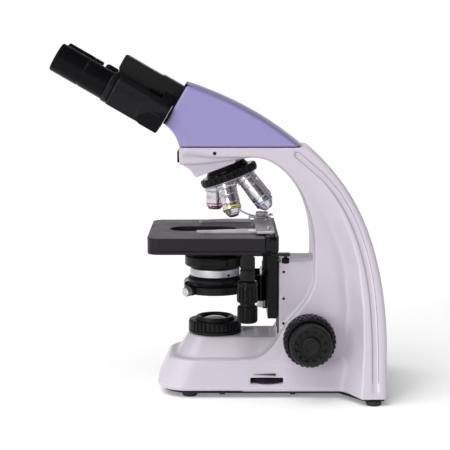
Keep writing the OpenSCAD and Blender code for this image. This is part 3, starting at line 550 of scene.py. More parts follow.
def plan_distance(x, y, half, front, corner):
    """Distance to a plan with a rounded front, open to the rear."""
    qx, qy = np.abs(x) - half + corner, front + corner - y
    return np.minimum(np.maximum(qx, qy), 0) + np.hypot(np.maximum(qx, 0), np.maximum(qy, 0)) - corner


def stand_field(x, y, z):
    yy, zz = np.broadcast_arrays(y, z)
    flat_y, flat_z = yy[0], zz[0]
    # raised flank with the flared rear, its groove and its rounded edges
    width = flank_half_width(flat_y, flat_z)
    groove_path = np.interp(flat_z, GROOVE_Z, GROOVE_IN)
    strip = np.abs(curve_distance(REAR, flat_y, flat_z) - groove_path) - 3.0
    strip = meet(strip, 14 - flat_z, 85 - flat_y)
    width = width - 1.1 * np.clip(0.5 - strip / 1.2, 0, 1)
    step = float(flat_y[1, 0] - flat_y[0, 0]), float(flat_z[0, 1] - flat_z[0, 0])
    slope_y, slope_z = np.gradient(width, *step)
    steep = np.sqrt(1 + np.minimum(slope_y ** 2 + slope_z ** 2, 2.0))
    edge = np.interp(flat_y, (-38, -22, 0, 120, 150), (11, 9, 2.6, 2.6, 5.0))
    flank = (np.abs(x) - width[None]) / steep[None]
    outer = round_cut(flank, inside_distance(FLANK, flat_y, flat_z)[None], edge[None])
    core = round_cut(np.abs(x) - 31.5, inside_distance(CORE, flat_y, flat_z)[None], 2.5)
    body = smooth_union(outer, core, 1.2)
    # lower tier, lamp tier and focus column
    rise = np.maximum(z - 12, 0)
    tier = plan_distance(x, y, TIER_HALF - TIER_LEAN * rise, TIER_FRONT + 0.44 * rise, 33.0) * 0.94
    tier = round_cut(round_cut(tier, z - TIER_Z, 3.0), 7.0 - z, 5.0)
    tier = np.maximum(tier, y - 150)
    drop = np.maximum(DECK_Z - z, -2)
    lamp = plan_distance(x, y, DECK_X + 0.86 * drop, -DECK_X - 0.55 * drop, 28.5) * 0.78
    lamp = meet(round_cut(lamp, z - DECK_Z, 1.6), y - 112, 36 - z)
    column = round_cut(np.abs(x) - COLUMN_X, 69.7 - y, 1.4)
    column = meet(round_cut(column, z - 144.5, 2.6), y - 120, 30 - z)
    body = smooth_union(body, smooth_union(tier, lamp, 2.6), 3.0)
    body = smooth_union(body, column, 1.0)
    body = round_cut(body, z - SEAM_Z, 0.8)
    body = round_cut(body, 7.0 - z, 1.2)
    # hollow of the lamp, dimmer slot and recessed rear panel
    lamp_bore = np.maximum(np.hypot(x, y) - 22.2, 52 - z)
    slot = meet(44 - x, np.abs(y - 56.1) - 17.7, np.abs(z - 18.6) - 3.0)
    panel = meet(np.abs(x) - 32, 177 - y, np.abs(z - 38) - 18)
    socket = meet(np.abs(x + 10) - 14, 165 - y, np.abs(z - 37) - 11)
    rocker = meet(np.abs(x - 17) - 7, 165 - y, np.abs(z - 37) - 9)
    shaft = np.maximum(np.hypot(y - SHAFT_Y, z - SHAFT_Z) - 11, np.abs(x) - 70)
    return meet(body, -lamp_bore, -slot, -panel, -socket, -rocker, -shaft)


def build_stand():
    step = 1.3
    field_mesh("stand_shell", stand_field, (-94, -64, 6), (94, 183, 269), step, "stand_paint", "stand",
               node="stand_casting", angle=50)
    # fairing that carries the nosepiece, with its sloping foot square to the turret's axis
    side = [(-36, 252), (-35.2, 249), (-26.5, 243.5), (-20.5, 234.6), (22, 250.9), (24, 256)]
    prism("nosepiece_fairing", fillet(side, 3, 4), -24, 24, "stand_paint", "stand", SIDE,
          "nosepiece_mount", 2.2)
    prism("arm_cap", box_outline(-17, 250.4, 17, 262.6, 2.2), 38, 40.6, "cap_black", "stand", rot(90, "X"),
          "arm_port_cap", 0.5)
    # gasket line under the head
    seam = fillet([(-34.6, -36.4), (34.6, -36.4), (34.6, 88), (-34.6, 88)], 8, 6)
    prism("head_gasket", seam, SEAM_Z - 0.4, SEAM_Z + 0.7, "cap_black", "stand", bevel=0.1)
    for side_x, label in reversed(SIDES):
        for k, z in enumerate((75.9, 103.4, 132.8)):
            hex_screw(f"column_screw_{k}_{label}", side_x * COLUMN_X, 74.8, z, 1.25)
    hex_screw("arm_screw", ARM_X, 0, 262, 1.7)
    # thin strips of painted shade along the groove on each flank
    for side_x, label in reversed(SIDES):
        groove_line(side_x, label)


def groove_line(side_x, label):
    """Fine dark line of painted shade round the groove, drawn on the flank from the arm's top down to the
    floor.
    """
    centre = []
    for (y0, z0), (y1, z1) in zip(REAR, REAR[1:]):
        length = math.hypot(y1 - y0, z1 - z0)
        inward = ((z1 - z0) / length, -(y1 - y0) / length)
        inset = float(np.interp(z0, GROOVE_Z, GROOVE_IN))
        y, z = y0 + inward[0] * inset, z0 + inward[1] * inset
        if y > 88 and z > 13:
            centre.append((y, z, inward))
    loops = []
    for half in (2.95, 3.5):
        left = [(y + n[0] * half, z + n[1] * half) for y, z, n in centre]
        right = [(y - n[0] * half, z - n[1] * half) for y, z, n in centre]
        y, z, n = centre[0]
        cap = [(y - half * (n[0] * math.cos(w) - n[1] * math.sin(w)),
                z - half * (n[1] * math.cos(w) + n[0] * math.sin(w))) for w in np.linspace(math.pi, 0, 12)]
        loops.append(left[::-1] + cap[1:-1] + right)
    points = []
    for loop in loops:
        for y, z in loop:
            x = float(flank_half_width(np.array(y), np.array(z))) + 0.12
            points.append((side_x * x, y, z))
    count = len(loops[0])
    faces = [(i, i + 1, count + i + 1, count + i) for i in range(count - 1)]
    mesh = mesh_of("groove_line", to_world(points), faces)
    tidy(mesh)
    finish_object(f"groove_line_{label}", mesh, "shade_line", "stand")


def hex_screw(name, x, y, z, radius):
    """Set screw: one black piece for the screw, with painted shade for the mouth of its hole, the screw's rim
    and dimple.
    """
    steps = ((0, 0.8), (0.5, 0.8), (0.6, 1), (0.95, 1), (1.1, 0.8), (1.1, -1.2), (0, -1.2))
    lathe(name, [(radius * r, h) for r, h in steps], "cap_black", "stand",
          move(x, y, z) @ rot(math.copysign(90, x), "Y"), None, 0.05, segments=36)


def build_base():
    foot = [(0, 0), (7.2, 0), (8.2, 1.2), (8.5, 5), (0, 5)]
    for k, (x, y) in enumerate(((45, -27), (-45, -27), (84, 168), (-84, 168))):
        lathe(f"foot_{k}", foot, "rubber", "stand", move(x, y, 0), None, 0.8, segments=48)
    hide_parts("rubber_feet")
    # two rows of flush slats on the deck, a darker grey as painted shade for the vent slots
    for k, y0 in enumerate((31, 47)):
        slats = [slab(box_outline(x, y0, x + 1.5, y0 + 12, 0.5), 60.6, 61.12, bevel=0.05)
                 for x in np.arange(-22, 22, 3.6)]
        join(f"deck_vent_{k}", slats, "vent_grey", "stand")
    # ring and collar over the field lens
    profile = [(16.7, 55), (21.6, 55), (21.6, 61), (27.6, 61), (29.2, 62), (29.2, 64.2), (28, 64.6),
               (21.7, 64.6), (21.7, 76.6), (20.4, 79), (17.4, 79), (16.9, 78.2), (15.2, 78), (15.2, 76.6),
               (16.7, 76.2)]
    lathe("field_collar", profile, "slide_black", "stand", None, "field_lens_mount", 0.4)
    profile = [(22.1, 64.9), (28.4, 64.9), (29.25, 65.7, 0.2), (29.25, 66.6, 1), (29.1, 73.4, 1),
               (28.4, 75.1, 0.5), (25.6, 75.4), (22.1, 75.4)]
    lathe("field_ring", profile, "black_grip", "field_ring", None, "field_diaphragm_ring", 0.45, ribs=36,
          depth=1.5, fill=0.66)
    dome = [(0, 69), (16.5, 69)] + arc(0, 72, 16.5, 6.4, 0, 90, 9)
    lathe("field_glass", dome, "field_glass", "stand", None, "field_lens", 0.1)
    profile = [(3.1, 16.6), (17.2, 16.6), (18, 17.2, 1), (18, 20, 1), (17.2, 20.6), (3.1, 20.6)]
    lathe("dimmer_grip", profile, "black_grip", "dimmer", move(42, 56, 0), "dimmer_wheel", 0.3, ribs=52,
          depth=0.5)
    # printed wedge over the dimmer
    wedge = [(41.5, 0), (65.5, -1.3), (65.5, 1.1)]
    tier_face = move(56.15, 0, 25.6) @ rot(-19, "Y") @ SIDE
    prism("dimmer_mark", wedge, -1.2, 0.12, "print_black", "stand", tier_face, bevel=0.04)


# ---------- focus drive and slide ----------

def build_focus():
    for side_x, label in SIDES:
        place = FOCUS if side_x > 0 else Matrix.Scale(-1, 4, (1, 0, 0)) @ FOCUS
        profile = [(6, 56.2), (24.5, 56.2), (27.2, 57.2), (28, 59, 0.4), (28, 60.4, 1), (28, 72.4, 1),
                   (27.4, 74.2, 0.5), (25.4, 75.8), (24.9, 77.8), (23.6, 78), (23.2, 77), (6, 77)]
        lathe(f"coarse_wheel_{label}", profile, "black_grip", "coarse_focus", place, f"coarse_knob_{label}",
              0.6, ribs=30, depth=1.5, fill=0.5)
        profile = [(3, 77.4), (9, 77.4), (9, 82), (20.8, 82), (22.4, 83, 0.2), (22.6, 84.4, 1),
                   (22.6, 91.2, 1), (22, 93, 0.4), (20.8, 94.6), (17.6, 95), (16.9, 94.4), (16.4, 91.6),
                   (10, 91.2), (9.4, 94.2), (8.4, 94.9), (6.4, 94.9), (5.9, 94.1), (0, 93.9)]
        lathe(f"fine_wheel_{label}", profile, "fine_knob_paint", "fine_focus", place, f"fine_knob_{label}",
              0.4, ribs=44, depth=0.5, fill=0.55)
        pad = box_outline(25.2, -1.5, 27.0, 1.5, 0.3)
        pads = [slab(pad, 74.5, 75.95, place @ rot(24 * k + 8, "Z"), bevel=0.25) for k in range(15)]
        join(f"coarse_pads_{label}", pads, "fine_knob_paint", "coarse_focus")
        dots = [slab(circle(2.3, 15.4, 0, 20), 91, 94.3, place @ rot(30 * k, "Z"), bevel=0.7)
                for k in range(12)]
        join(f"fine_lobes_{label}", dots, "fine_knob_paint", "fine_focus")
    profile = [(6.1, 52.4), (18.2, 52.4), (19, 53, 1), (19, 55, 1), (18.2, 55.5), (6.1, 55.5)]
    lathe("tension_grip", profile, "black_grip", "tension", FOCUS, "tension_collar", 0.3, ribs=40,
          depth=0.7)
    parts = [slab(box_outline(57.5, 80, 68.2, 149.6, 1.2), -24, 24, SIDE, bevel=0.7),
             slab(box_outline(68.1, 84, 91.5, 126), -8.5, 8.5, SIDE, bevel=0.4),
             slab(box_outline(44, 149.5, 68.2, 153, 0.6), -22, 22, SIDE, bevel=0.5)]
    join("focus_slide_body", parts, "slide_black", "stage_carriage", "focus_slide")
    rails = [slab(box_outline(x, 61.5, x + 13, 143.5, 1.0), 68.5, 69.75, FRONT, bevel=0.25)
             for x in (-24, 11)]
    join("column_rails", rails, "slide_black", "stand", "guide_rails")


# ---------- stage ----------

def stadium(half_x, y0, y1, steps=13):
    """Slot with round ends between y0 and y1."""
    ends = ((y0, 180, 360), (y1, 0, 180))
    return [p for y, start, end in ends for p in arc(0, y, half_x, half_x, start, end, steps)]


def stage_outline(inset, front_radius=15.0):
    """The stage's plan, with large front corners and small rear ones."""
    w, front, rear = STAGE_HALF - inset, STAGE_FRONT + inset, STAGE_REAR - inset
    corners = [(-w, front), (w, front), (w, rear), (-w, rear)]
    out = []
    for k, corner in enumerate(corners):
        radius = (front_radius if k < 2 else 2.5) - min(inset, 2)
        around = [corners[k - 1], corner, corners[(k + 1) % 4]]
        out += fillet(around, radius, 8, closed=False)[1:-1]
    return out


def build_stage():
    plate = slab(stage_outline(0), 171.5, STAGE_Z, bevel=1.1, holes=[stadium(17, -32, 7)])
    skirt = slab(stage_outline(0.05), 161.5, 172.5, bevel=0.7, holes=[stage_outline(4)])
    runners = [slab(box_outline(x, -45, x + 3.7, 22), 161.8, 172, bevel=0.3) for x in (-50, 46.3)]
    # the skirt reaches lower at both sides, clear of the carrier as the stage travels
    outside = [(x, y) for x, y in stage_outline(0.05) if x > 50 and y < 0]
    inside = [(x, y) for x, y in stage_outline(4) if x > 50 and y < 0]
    strip = [(50, -70.95)] + outside + [(74.95, 50), (71, 50)] + inside[::-1] + [(50, -67)]
    lips = [slab([(side_x * x, y) for x, y in strip], 158.7, 163, bevel=0.5) for side_x in (-1, 1)]
    join("stage_plate", [plate, skirt, *runners, *lips], "stage_coating", "stage_upper", "stage_top")
    # sheet on top, a lighter and glossier copy of the stage coating as painted light on the top face, and the
    # engraved scale along the rear edge
    prism("stage_face", stage_outline(1.4), STAGE_Z - 0.05, STAGE_Z + 0.04, "stage_face", "stage_upper",
          bevel=0.02, holes=[stadium(18.2, -32, 7)])
    marks = [slab(box_outline(x - 0.1, 46.5, x + 0.1, 49.5 if k % 5 else 52), STAGE_Z - 0.1, STAGE_Z + 0.09,
             bevel=0) for k, x in enumerate(np.arange(-40, 41, 2.0))]
    join("stage_scale", marks, "holder_metal", "stage_upper")
    base = [slab(box_outline(-48, -52, 48, 68, 2), 157.4, 160, bevel=0.4, holes=[keyhole()]),
            slab(box_outline(-48, 27, 48, 68, 2), 153, 158, bevel=0.6)]
    base += [slab(box_outline(x, -42, x + 4, 18.5), 159.9, 163.5, bevel=0.3) for x in (-46, 42)]
    join("stage_carrier", base, "slide_black", "stage_carriage")
    rail = [(54, 163), (67.5, 163), (67.5, 178), (64, 178), (64, 172), (58, 172), (58, 178), (54, 178)]
    prism("holder_rail_bar", rail, -STAGE_HALF, STAGE_HALF, "slide_black", "stage_upper", SIDE,
          "holder_rail", 0.5)
    # end plate, web and stop knob at the rail's right end
    prism("rail_end_plate", box_outline(62, 60, 73.5, 79.5, 1.5), 157.4, 159.6, "slide_black",
          "stage_upper", bevel=0.5)
    prism("rail_end_web", box_outline(64, 60, 72, 66, 0.8), 160.2, 163.2, "slide_black", "stage_upper",
          bevel=0.3)
    profile = [(0, 148.6), (3.4, 148.6), (4, 149.4, 1), (4, 153.4, 1), (3.2, 154.4), (1.8, 154.8),
               (1.8, 156.3), (0, 156.3)]
    lathe("rail_stop_knob", profile, "black_grip", "stage_upper", move(67, 75, 0), None, 0.3, ribs=18,
          depth=0.35)


def keyhole():
    """Opening of the carrier round the condenser, open towards the user."""
    out = [(26 * math.sin(w), 26 * math.cos(w)) for w in np.radians(np.linspace(-136, 136, 44))]
    return out + [(18, -47), (-18, -47)]


def build_stage_knobs():
    profile = [(5.1, 128.4), (7.4, 128.4), (8, 129.2), (8, 140), (7.2, 140.6), (7.2, 141.6), (8, 142.2),
               (8, 153.4), (5.1, 153.4)]
    lathe("knob_tube", profile, "slide_black", "stage_upper", KNOB_AT, None, 0.35)
    prism("knob_bracket", box_outline(60, 28.5, 74, 41.5, 1.2), 144, 161.5, "slide_black", "stage_upper",
          bevel=0.6, node="knob_housing")
    profile = [(3.1, 105.2), (10.2, 105.2), (11.3, 106.6, 1), (11.4, 108, 1), (11.2, 121, 1),
               (10.8, 123, 0.8), (11.2, 124.2), (11.2, 126.6), (10.4, 127.8), (5, 128.2), (5, 141),
               (3.1, 141)]
    lathe("y_grip", profile, "black_grip", "y_knob", KNOB_AT, "stage_y_knob", 0.5, ribs=15, depth=1.4,
          fill=0.58)
    profile = [(0, 83.2), (8.6, 83.2), (10.2, 84, 0.6), (10.8, 85.6, 1), (10.9, 99, 1), (10.2, 101, 0.6),
               (8.2, 101.6), (8.2, 104.8), (3, 104.9), (3, 141), (0, 141)]
    lathe("x_grip", profile, "black_grip", "x_knob", KNOB_AT, "stage_x_knob", 0.5, ribs=15, depth=1.3,
          fill=0.58)


def build_holder():
    bar = [(-57, 46), (-55, 44), (36, 44), (36, 40), (39, 36), (43, 36), (46, 44), (55, 44), (57, 46),
           (57, 62), (55, 63.7), (-55, 63.7), (-57, 61.7)]
    finger = [(39, 44), (38.8, 6), (36.4, -12), (36.2, -18), (38.6, -19.5), (42.4, -14), (43.4, 10),
              (43.4, 44)]
    # the fixed finger is folded up along its outer edge, and the fold dies out towards the tip
    fold = [(44, 178.2), (44, 182), (10, 181.2), (-12, 180.2), (-12, 178.2)]
    parts = [slab(bar, 178.4, 181.3, bevel=0.5),
             slab(box_outline(-45, 58.3, 45, 63.7), 172.5, 178.5, bevel=0.3),
             slab(finger, *FINGER_Z, bevel=0.4),
             slab(fold, 41.4, 42.8, SIDE, bevel=0.25)]
    join("holder_bar", parts, "holder_metal", "holder", "specimen_holder")
    screw = [(0, 181.2), (3.1, 181.2), (3.1, 182.6), (2.4, 183.2), (0, 183.2)]
    for x, label in ((-30, "left"), (32, "right")):
        place = move(x, 58, 0)
        lathe(f"holder_screw_{label}", screw, "turret_metal", "holder", place, None, 0.25, segments=32)
        prism(f"holder_screw_slot_{label}", box_outline(-2.2, -0.35, 2.2, 0.35), 182.9, 183.26, "cap_black",
              "holder", place @ rot(35, "Z"), bevel=0.05)
    # sprung finger, its lifted strap and the nut it turns on
    inner = bezier((-47, 40), (-47, 22), (-47, 4), (-38.5, -14), 12)
    outer = bezier((-41, -18), (-52, -8), (-56, 14), (-53.5, 40), 12)
    web = [(-54, 38), (-46.5, 38), (-45, 46), (-45.5, 58), (-54.5, 58), (-58, 50)]
    strap = bezier((44, 183.2), (36, 184), (26, 189), (21, 196.5), 12)
    back = [(y + 1.1, z + 0.9) for y, z in strap[::-1]]
    tail = [(-53, 60), (-66, 66.5), (-75, 65.4), (-75.5, 62), (-66, 61.5), (-54, 53)]
    parts = [slab(inner + [(-38, -16)] + outer, *FINGER_Z, bevel=0.4),
             slab(web, *WEB_Z, bevel=0.4),
             slab(box_outline(37.8, 177, 39.6, 183.1, 0.4), -53.6, -46.9, SIDE, bevel=0.3),
             slab(strap + back, -54, -48, SIDE, bevel=0.25),
             slab(tail, *WEB_Z, bevel=0.4)]
    join("lever_spring", parts, "holder_metal", "lever", "holder_lever")
    profile = [(0, 183.2), (6.4, 183.2), (7.1, 184), (7.2, 184.6, 1), (7.2, 187.6, 1), (6.6, 188.5),
               (4.2, 188.6), (3.9, 188.2), (0, 188.2)]
    lathe("lever_nut", profile, "turret_metal", "lever", move(-50, 53, 0), None, 0.3, ribs=40, depth=0.25)


# ---------- condenser ----------

def build_condenser():
    profile = [(24, 136), (31.6, 136), (33, 137.4), (33, 146.6), (31.8, 148), (24.2, 148), (23, 152),
               (20, 152.4), (19, 158), (19, 165.6), (15.6, 168.4), (11.4, 168.6), (11.4, 160), (13, 159),
               (13, 134.6), (20, 134.4), (20, 136)]
    lathe("condenser_head", profile, "slide_black", "condenser", None, "condenser_body", 0.5)
    profile = [(13.2, 106.8), (25.4, 106.8), (27, 108), (27, 115.1), (28.6, 116.6), (29.9, 118.4),
               (30, 122), (28.4, 124), (20.2, 124.4), (20.2, 134.5), (13.2, 134.5)]
    lathe("condenser_flange", profile, "slide_black", "condenser", None, None, 0.5)
    # flat black patches as painted shade for the mouths of the slider's slot on both sides, and their lips on
    # the right
    mouth = box_outline(-12.6, 139.6, 12.6, 144.2, 1.2)
    for k, side_x in enumerate((-1, 1)):
        prism(f"slider_mouth_{k}", mouth, side_x * 31.2, side_x * 33.15, "cap_black", "condenser", SIDE,
              bevel=0.12)
    lip = [slab(box_outline(-15.5, z, 15.5, z + 1.1, 0.4), 30.4, 33.9, SIDE, bevel=0.25)
           for z in (138.3, 144.5)]
    join("slider_lips", lip, "slide_black", "condenser")
    profile = [(20.3, 124.7), (26.4, 124.7), (27.2, 125.4, 1), (27.3, 126, 1), (27.3, 132.8, 1),
               (27, 133.4, 0.5), (26, 133.9), (20.3, 133.9)]
    lathe("aperture_grip", profile, "knurled_metal", "aperture", None, "aperture_ring", 0.25, ribs=130,
          depth=0.35, fill=0.5)
    # a short stop pin, and the long pin with its ball that turns the ring
    stop = [(0, 0), (1.5, 0), (1.5, 1.6), (1.1, 2.2), (0.8, 2.4), (0, 2.4)]
    pin = [(0, 0), (1.5, 0), (1.5, 1.6), (1.1, 2.2), (1.1, 6), (1.7, 6.6), (1.7, 8.8), (1.2, 9.4), (0, 9.4)]
    for k, (angle, profile) in enumerate(((33, stop), (-150, pin))):
        place = rot(angle, "Z") @ move(26.4, 0, 127.7) @ rot(90, "Y")
        lathe(f"aperture_pin_{k}", profile, "cap_black", "aperture", place, None, 0.2, segments=24)
    parts = [slab(circle(34, steps=72), 107, 115, bevel=0.8, holes=[circle(29.2, steps=72)]),
             slab(box_outline(-18, 31, 18, 45, 1), 107.2, 114.8, bevel=0.5),
             slab(box_outline(-22, 42.5, 22, 51.2, 1.5), *BLOCK_Z, bevel=0.8)]
    parts += [slab(box_outline(x, 50, x + 14.7, 57.2, 0.8), *BLOCK_Z, bevel=0.5) for x in (-22, 7.3)]
    join("condenser_carrier", parts, "slide_black", "condenser")
    # bosses and knurled screws that centre the condenser
    for side_x, label in SIDES:
        place = rot(45 * side_x, "Z") @ move(0, -46, 111) @ rot(-90, "X")
        profile = [(0, 0), (3.9, 0), (4.9, 0.8, 1), (5, 1.4, 1), (5, 6.6, 1), (4.4, 7.6), (2, 8), (2, 18.4),
                   (0, 18.4)]
        lathe(f"centering_grip_{label}", profile, "knurled_metal", f"centering_{label}", place,
              f"centering_screw_{label}", 0.3, ribs=36, depth=0.35)
        profile = [(2.1, 8.6), (4.6, 8.6), (5, 9.2), (5, 15), (2.1, 15)]
        lathe(f"centering_boss_{label}", profile, "slide_black", "condenser", place, None, 0.3, segments=48)
    profile = [(0, 92), (4, 92), (4.8, 92.8, 1), (4.8, 99, 1), (4, 99.8), (1.5, 100), (1.5, 137), (0, 137)]
    lathe("stop_screw_grip", profile, "knurled_metal", "condenser", move(17, 50.5, 0),
          "condenser_stop_screw", 0.3, ribs=32, depth=0.35)
    place = move(0, 48.5, 114) @ rot(90, "Y")
    profile = [(0, -46), (7.6, -46), (9, -45.2, 0.5), (9.5, -44, 1), (9.5, -30, 1), (8.4, -28.2),
               (2.5, -28), (2.5, -20), (0, -20)]
    lathe("condenser_grip", profile, "black_grip", "condenser_drive", place, None, 0.5, ribs=20, depth=0.9)


# ---------- nosepiece ----------

# Magnification, length, barrel radius, nose radius, length of the nose and colour of the band
OBJECTIVES = (("4x", 24, 9.6, 6, 4, (0.62, 0.02, 0.04)), ("10x", 36, 10.1, 4.5, 7, (0.85, 0.55, 0.02)),
              ("40x", 43.4, 10.3, 4, 7, (0.06, 0.2, 0.5)), ("100x", 43.8, 10.3, 3.5, 8, (0.8, 0.8, 0.82)))


def build_objective(k, label, length, body_r, nose_r, cone, colour):
    """Knurled collar, grooved barrel with a coloured band, and a stepped nose with its front lens."""
    place = station(k) @ move(0, 0, -OBJECTIVE_REACH)
    end = -length
    low = end + cone
    profile = [(6, 3.4), (9.8, 3.4), (9.8, 0.1), (10.7, 0), (10.9, -0.4, 1), (10.9, -3.6, 1), (10.5, -4.4),
               (9.7, -4.6), (9.7, -5.4), (body_r, -5.8), (body_r, -8.4, 0), (body_r, -8.5, 1),
               (body_r, -12.4, 1), (body_r, -12.5)]
    if length > 30:
        profile += [(body_r - 0.5, -12.9), (body_r - 0.5, -13.6), (body_r, -14.0), (body_r, low + 7.2),
                    (body_r - 0.4, low + 6.8), (body_r - 0.4, low + 6.2), (body_r, low + 5.8)]
    profile += [(body_r, low + 0.4), (body_r - 0.6, low - 0.4), (body_r - 1.2, low - 0.6),
                (nose_r + 2.2, end + 2.2), (nose_r + 1.4, end + 1.6), (nose_r + 1.2, end + 0.7),
                (nose_r, end), (nose_r * 0.66, end + 0.1), (nose_r * 0.5, end + 0.9),
                (nose_r * 0.5, end + 1.4), (6, end + 9)]
    lathe(f"barrel_{label}", profile, "objective_chrome", "nosepiece", place, f"objective_{label}", 0.25,
          ribs=60, depth=0.28, fill=0.5)
    band = f"band_{label}"
    MATS[band] = coated(band + "_lacquer", colour, 0.3, 0.05)
    profile = [(body_r - 0.3, low + 1.7), (body_r + 0.07, low + 1.7), (body_r + 0.07, low + 3.1),
               (body_r - 0.3, low + 3.1)]
    lathe(f"ring_{label}", profile, band, "nosepiece", place, None, 0.05)
    profile = [(0, end + 1.3), (nose_r * 0.55, end + 1.3), (nose_r * 0.4, end + 0.8), (0, end + 0.55)]
    lathe(f"front_lens_{label}", profile, "lens_glass", "nosepiece", place, None, 0.1, segments=48)


def build_nosepiece():
    for k, sizes in enumerate(OBJECTIVES):
        build_objective(k, *sizes)
    profile = [(27, -46.4), (31.2, -46.4), (32, -45.4, 0.6), (32.2, -44.4, 1), (32.2, -40.6, 1),
               (31.6, -39.2, 0.6), (30, -38.5), (27, -38.5)]
    lathe("turret_grip", profile, "black_grip", "nosepiece", TURRET, "turret_ring", 0.6, ribs=28, depth=1.7,
          fill=0.55)
    profile = [(27.2, -47.5), (30.9, -47.5), (31.3, -47), (31.3, -46.5), (27.2, -46.5)]
    lathe("turret_lip", profile, "turret_metal", "nosepiece", TURRET, None, 0.2)
    profile = [(10.5, -33.6), (21.4, -33.6), (22, -34.2), (23.6, -36.2), (24, -37.6), (23.6, -38.1),
               (20, -38.2), (10.5, -38.2)]
    lathe("hub_skirt", profile, "eyepiece_black", "stand", TURRET, None, 0.4)


# ---------- viewing head ----------

ROOF = bezier((-60, 347), (2, 329), (50, 307.7), (97, 267.4), 40)


def head_field(x, y, z):
    yy, zz = np.broadcast_arrays(y, z)
    flat_y, flat_z = yy[0], zz[0]
    # the roof is crowned, and the front follows the throat and then the face square to the tubes
    roof = inside_distance(ROOF + [(96, 200), (-60, 200)], flat_y, flat_z)[None]
    roof = roof + 4.2 * np.abs(x / ARM_X) ** 2.2
    throat = bezier((-36, 255), (-37.6, 276), (-44, 285), (-53.2, 292.32), 14)
    outline = throat + [(-14.27, 360.2), (140, 370), (140, 255)]
    front = inside_distance(outline, flat_y, flat_z)[None]
    edge = np.interp(flat_z, (280, 292, 296), (9.0, 6.0, 2.4))[None]
    body = round_cut(round_cut(np.abs(x) - ARM_X, front, edge), roof, 1.7)
    return round_cut(body, SEAM_Z + 0.9 - z, 0.7)


def build_head():
    field_mesh("head_shell", head_field, (-37, -55, 267), (37, 95, 338), 1.05,
               "head_paint", "head", node="head_housing", angle=50)
    face = fillet([(-33, -26.4), (33, -26.4), (33, 19), (-33, 19)], 4, 5)
    prism("face_plate", face, 0.05, 2.4, "tube_black", "head", EYE, None, 0.5)
    # cover over the pivot, with a recessed panel on each flank
    cover = [(0.2, 2.45), (16.6, 2.45), (17.4, 4), (17.4, 27), (16.2, 28), (16.2, 72.4), (15.6, 73),
             (1, 73), (-1.6, 71.6), (-7.5, 66), (-7.5, 33), (-1.6, 32.4)]
    fold = EYE @ SIDE
    prism("pivot_cover", fillet(cover, 1.2, 3), -14.6, 14.6, "tube_black", "head", fold, "bridge_cover", 0.9)
    panel = fillet([(2.2, 8), (13.4, 8), (13.4, 60), (2.2, 60)], 2, 4)
    for side_x, label in reversed(SIDES):
        flank = sorted((side_x * 14.3, side_x * 14.95))
        prism(f"cover_panel_{label}", panel, *flank, "tube_black", "head", fold, None, 0.3)


def tube_field(x, v, u):
    """Prism box with its rounded end, and the tube, collar and seat that grow out of it."""
    plan = np.hypot(np.maximum(np.abs(v + 23) - 1.5, 0), np.maximum(u - 20.5, 0)) - 13.0
    box = round_cut(round_cut(np.abs(x - TUBE_X) - 17.8, plan, 1.6), 3.2 - u, 1.0)
    tube = np.hypot(x - TUBE_X, v - TUBE_V) - 16.4
    square = np.maximum(np.abs(x - TUBE_X) - 17.0, np.abs(v + 22.6) - 15.2)
    swell = smooth_union(tube - 0.9, square, 3.0)
    body = round_cut(swell, np.maximum(6.0 - u, u - 66), 2.0)
    body = smooth_union(body, box, 1.0)
    collar = round_cut(tube - 0.8, np.maximum(66.6 - u, u - 73), 0.6)
    seat = meet(tube + 1.2, 60 - u, u - 72)
    return np.minimum(np.minimum(body, collar), seat)


def build_tubes():
    """Both swinging tubes; the left pivot ring sits above the right one on the shared pivot."""
    step = 0.85
    # flat leaf where the round tube grows out of the prism box
    leaf = fillet([(-38.5, 3.6), (-38.5, 24), (-37, 28.6), (-33, 30), (-28.6, 28), (-24.5, 24), (-21, 19.7),
                   (-18.6, 14.5), (-17, 10.4), (-15.6, 3.6)], 2, 4)
    for (side_x, label), u0 in zip(SIDES, (3.2, 18)):
        body = f"{label}_ocular"
        inner, outer = sorted((side_x * 12, side_x * 50))
        field_mesh(f"{label}_prism_box", lambda x, v, u, s=side_x: tube_field(s * x, v, u), (inner, -41, 2),
                   (outer, -2, 74), step, "tube_black", body, EYE, f"{label}_tube", 45)
        ring = [(8.1, u0 + 0.2), (11.8, u0 + 0.2), (12.5, u0 + 1), (12.5, u0 + 13), (11.8, u0 + 13.8),
                (8.1, u0 + 13.8)]
        lathe(f"{label}_pivot_ring", ring, "tube_black", body, EYE, None, 0.4)
        flank = sorted((side_x * 46, side_x * 49.1))
        prism(f"{label}_tube_leaf", leaf, *flank, "eyepiece_black", body, EYE @ SIDE, None, 0.5)
        corners = ((-4, -11.5), (6, 10.5), (18, 1.5), (40, -8.6), (40, -24), (14, -24))
        arm = [(side_x * x, v) for x, v in corners]
        prism(f"{label}_pivot_arm", fillet(arm, 2, 4), u0 + 0.4, u0 + 13.6, "tube_black", body, EYE,
              bevel=0.7)


def build_eyepiece(label, x, start):
    place = EYE @ move(x, TUBE_V, 0)
    body = "right_ocular" if label == "right" else "left_eye"
    profile = [(8, 70), (11.6, 70), (11.6, start), (15.2, start + 0.1), (15.9, start + 0.9), (15.9, 100.8),
               (15.5, 101.4), (15.3, 102), (15.9, 102.7), (16, 103.4), (16, 133.4), (15.7, 134.4),
               (15, 135), (12.6, 135), (11.4, 133.8), (9.2, 130.4), (8.6, 129.6), (8.6, 127.4), (8, 126.8)]
    lathe(f"{label}_ocular_barrel", profile, "eyepiece_black", body, place, f"{label}_eyepiece", 0.5,
          segments=128)
    glass = [(0, 130.2), (4, 129.9), (7, 129.2), (8.7, 128.2), (8.7, 127), (0, 127)]
    lathe(f"{label}_eye_lens", glass, "lens_glass", body, place, None, 0.1, segments=64)


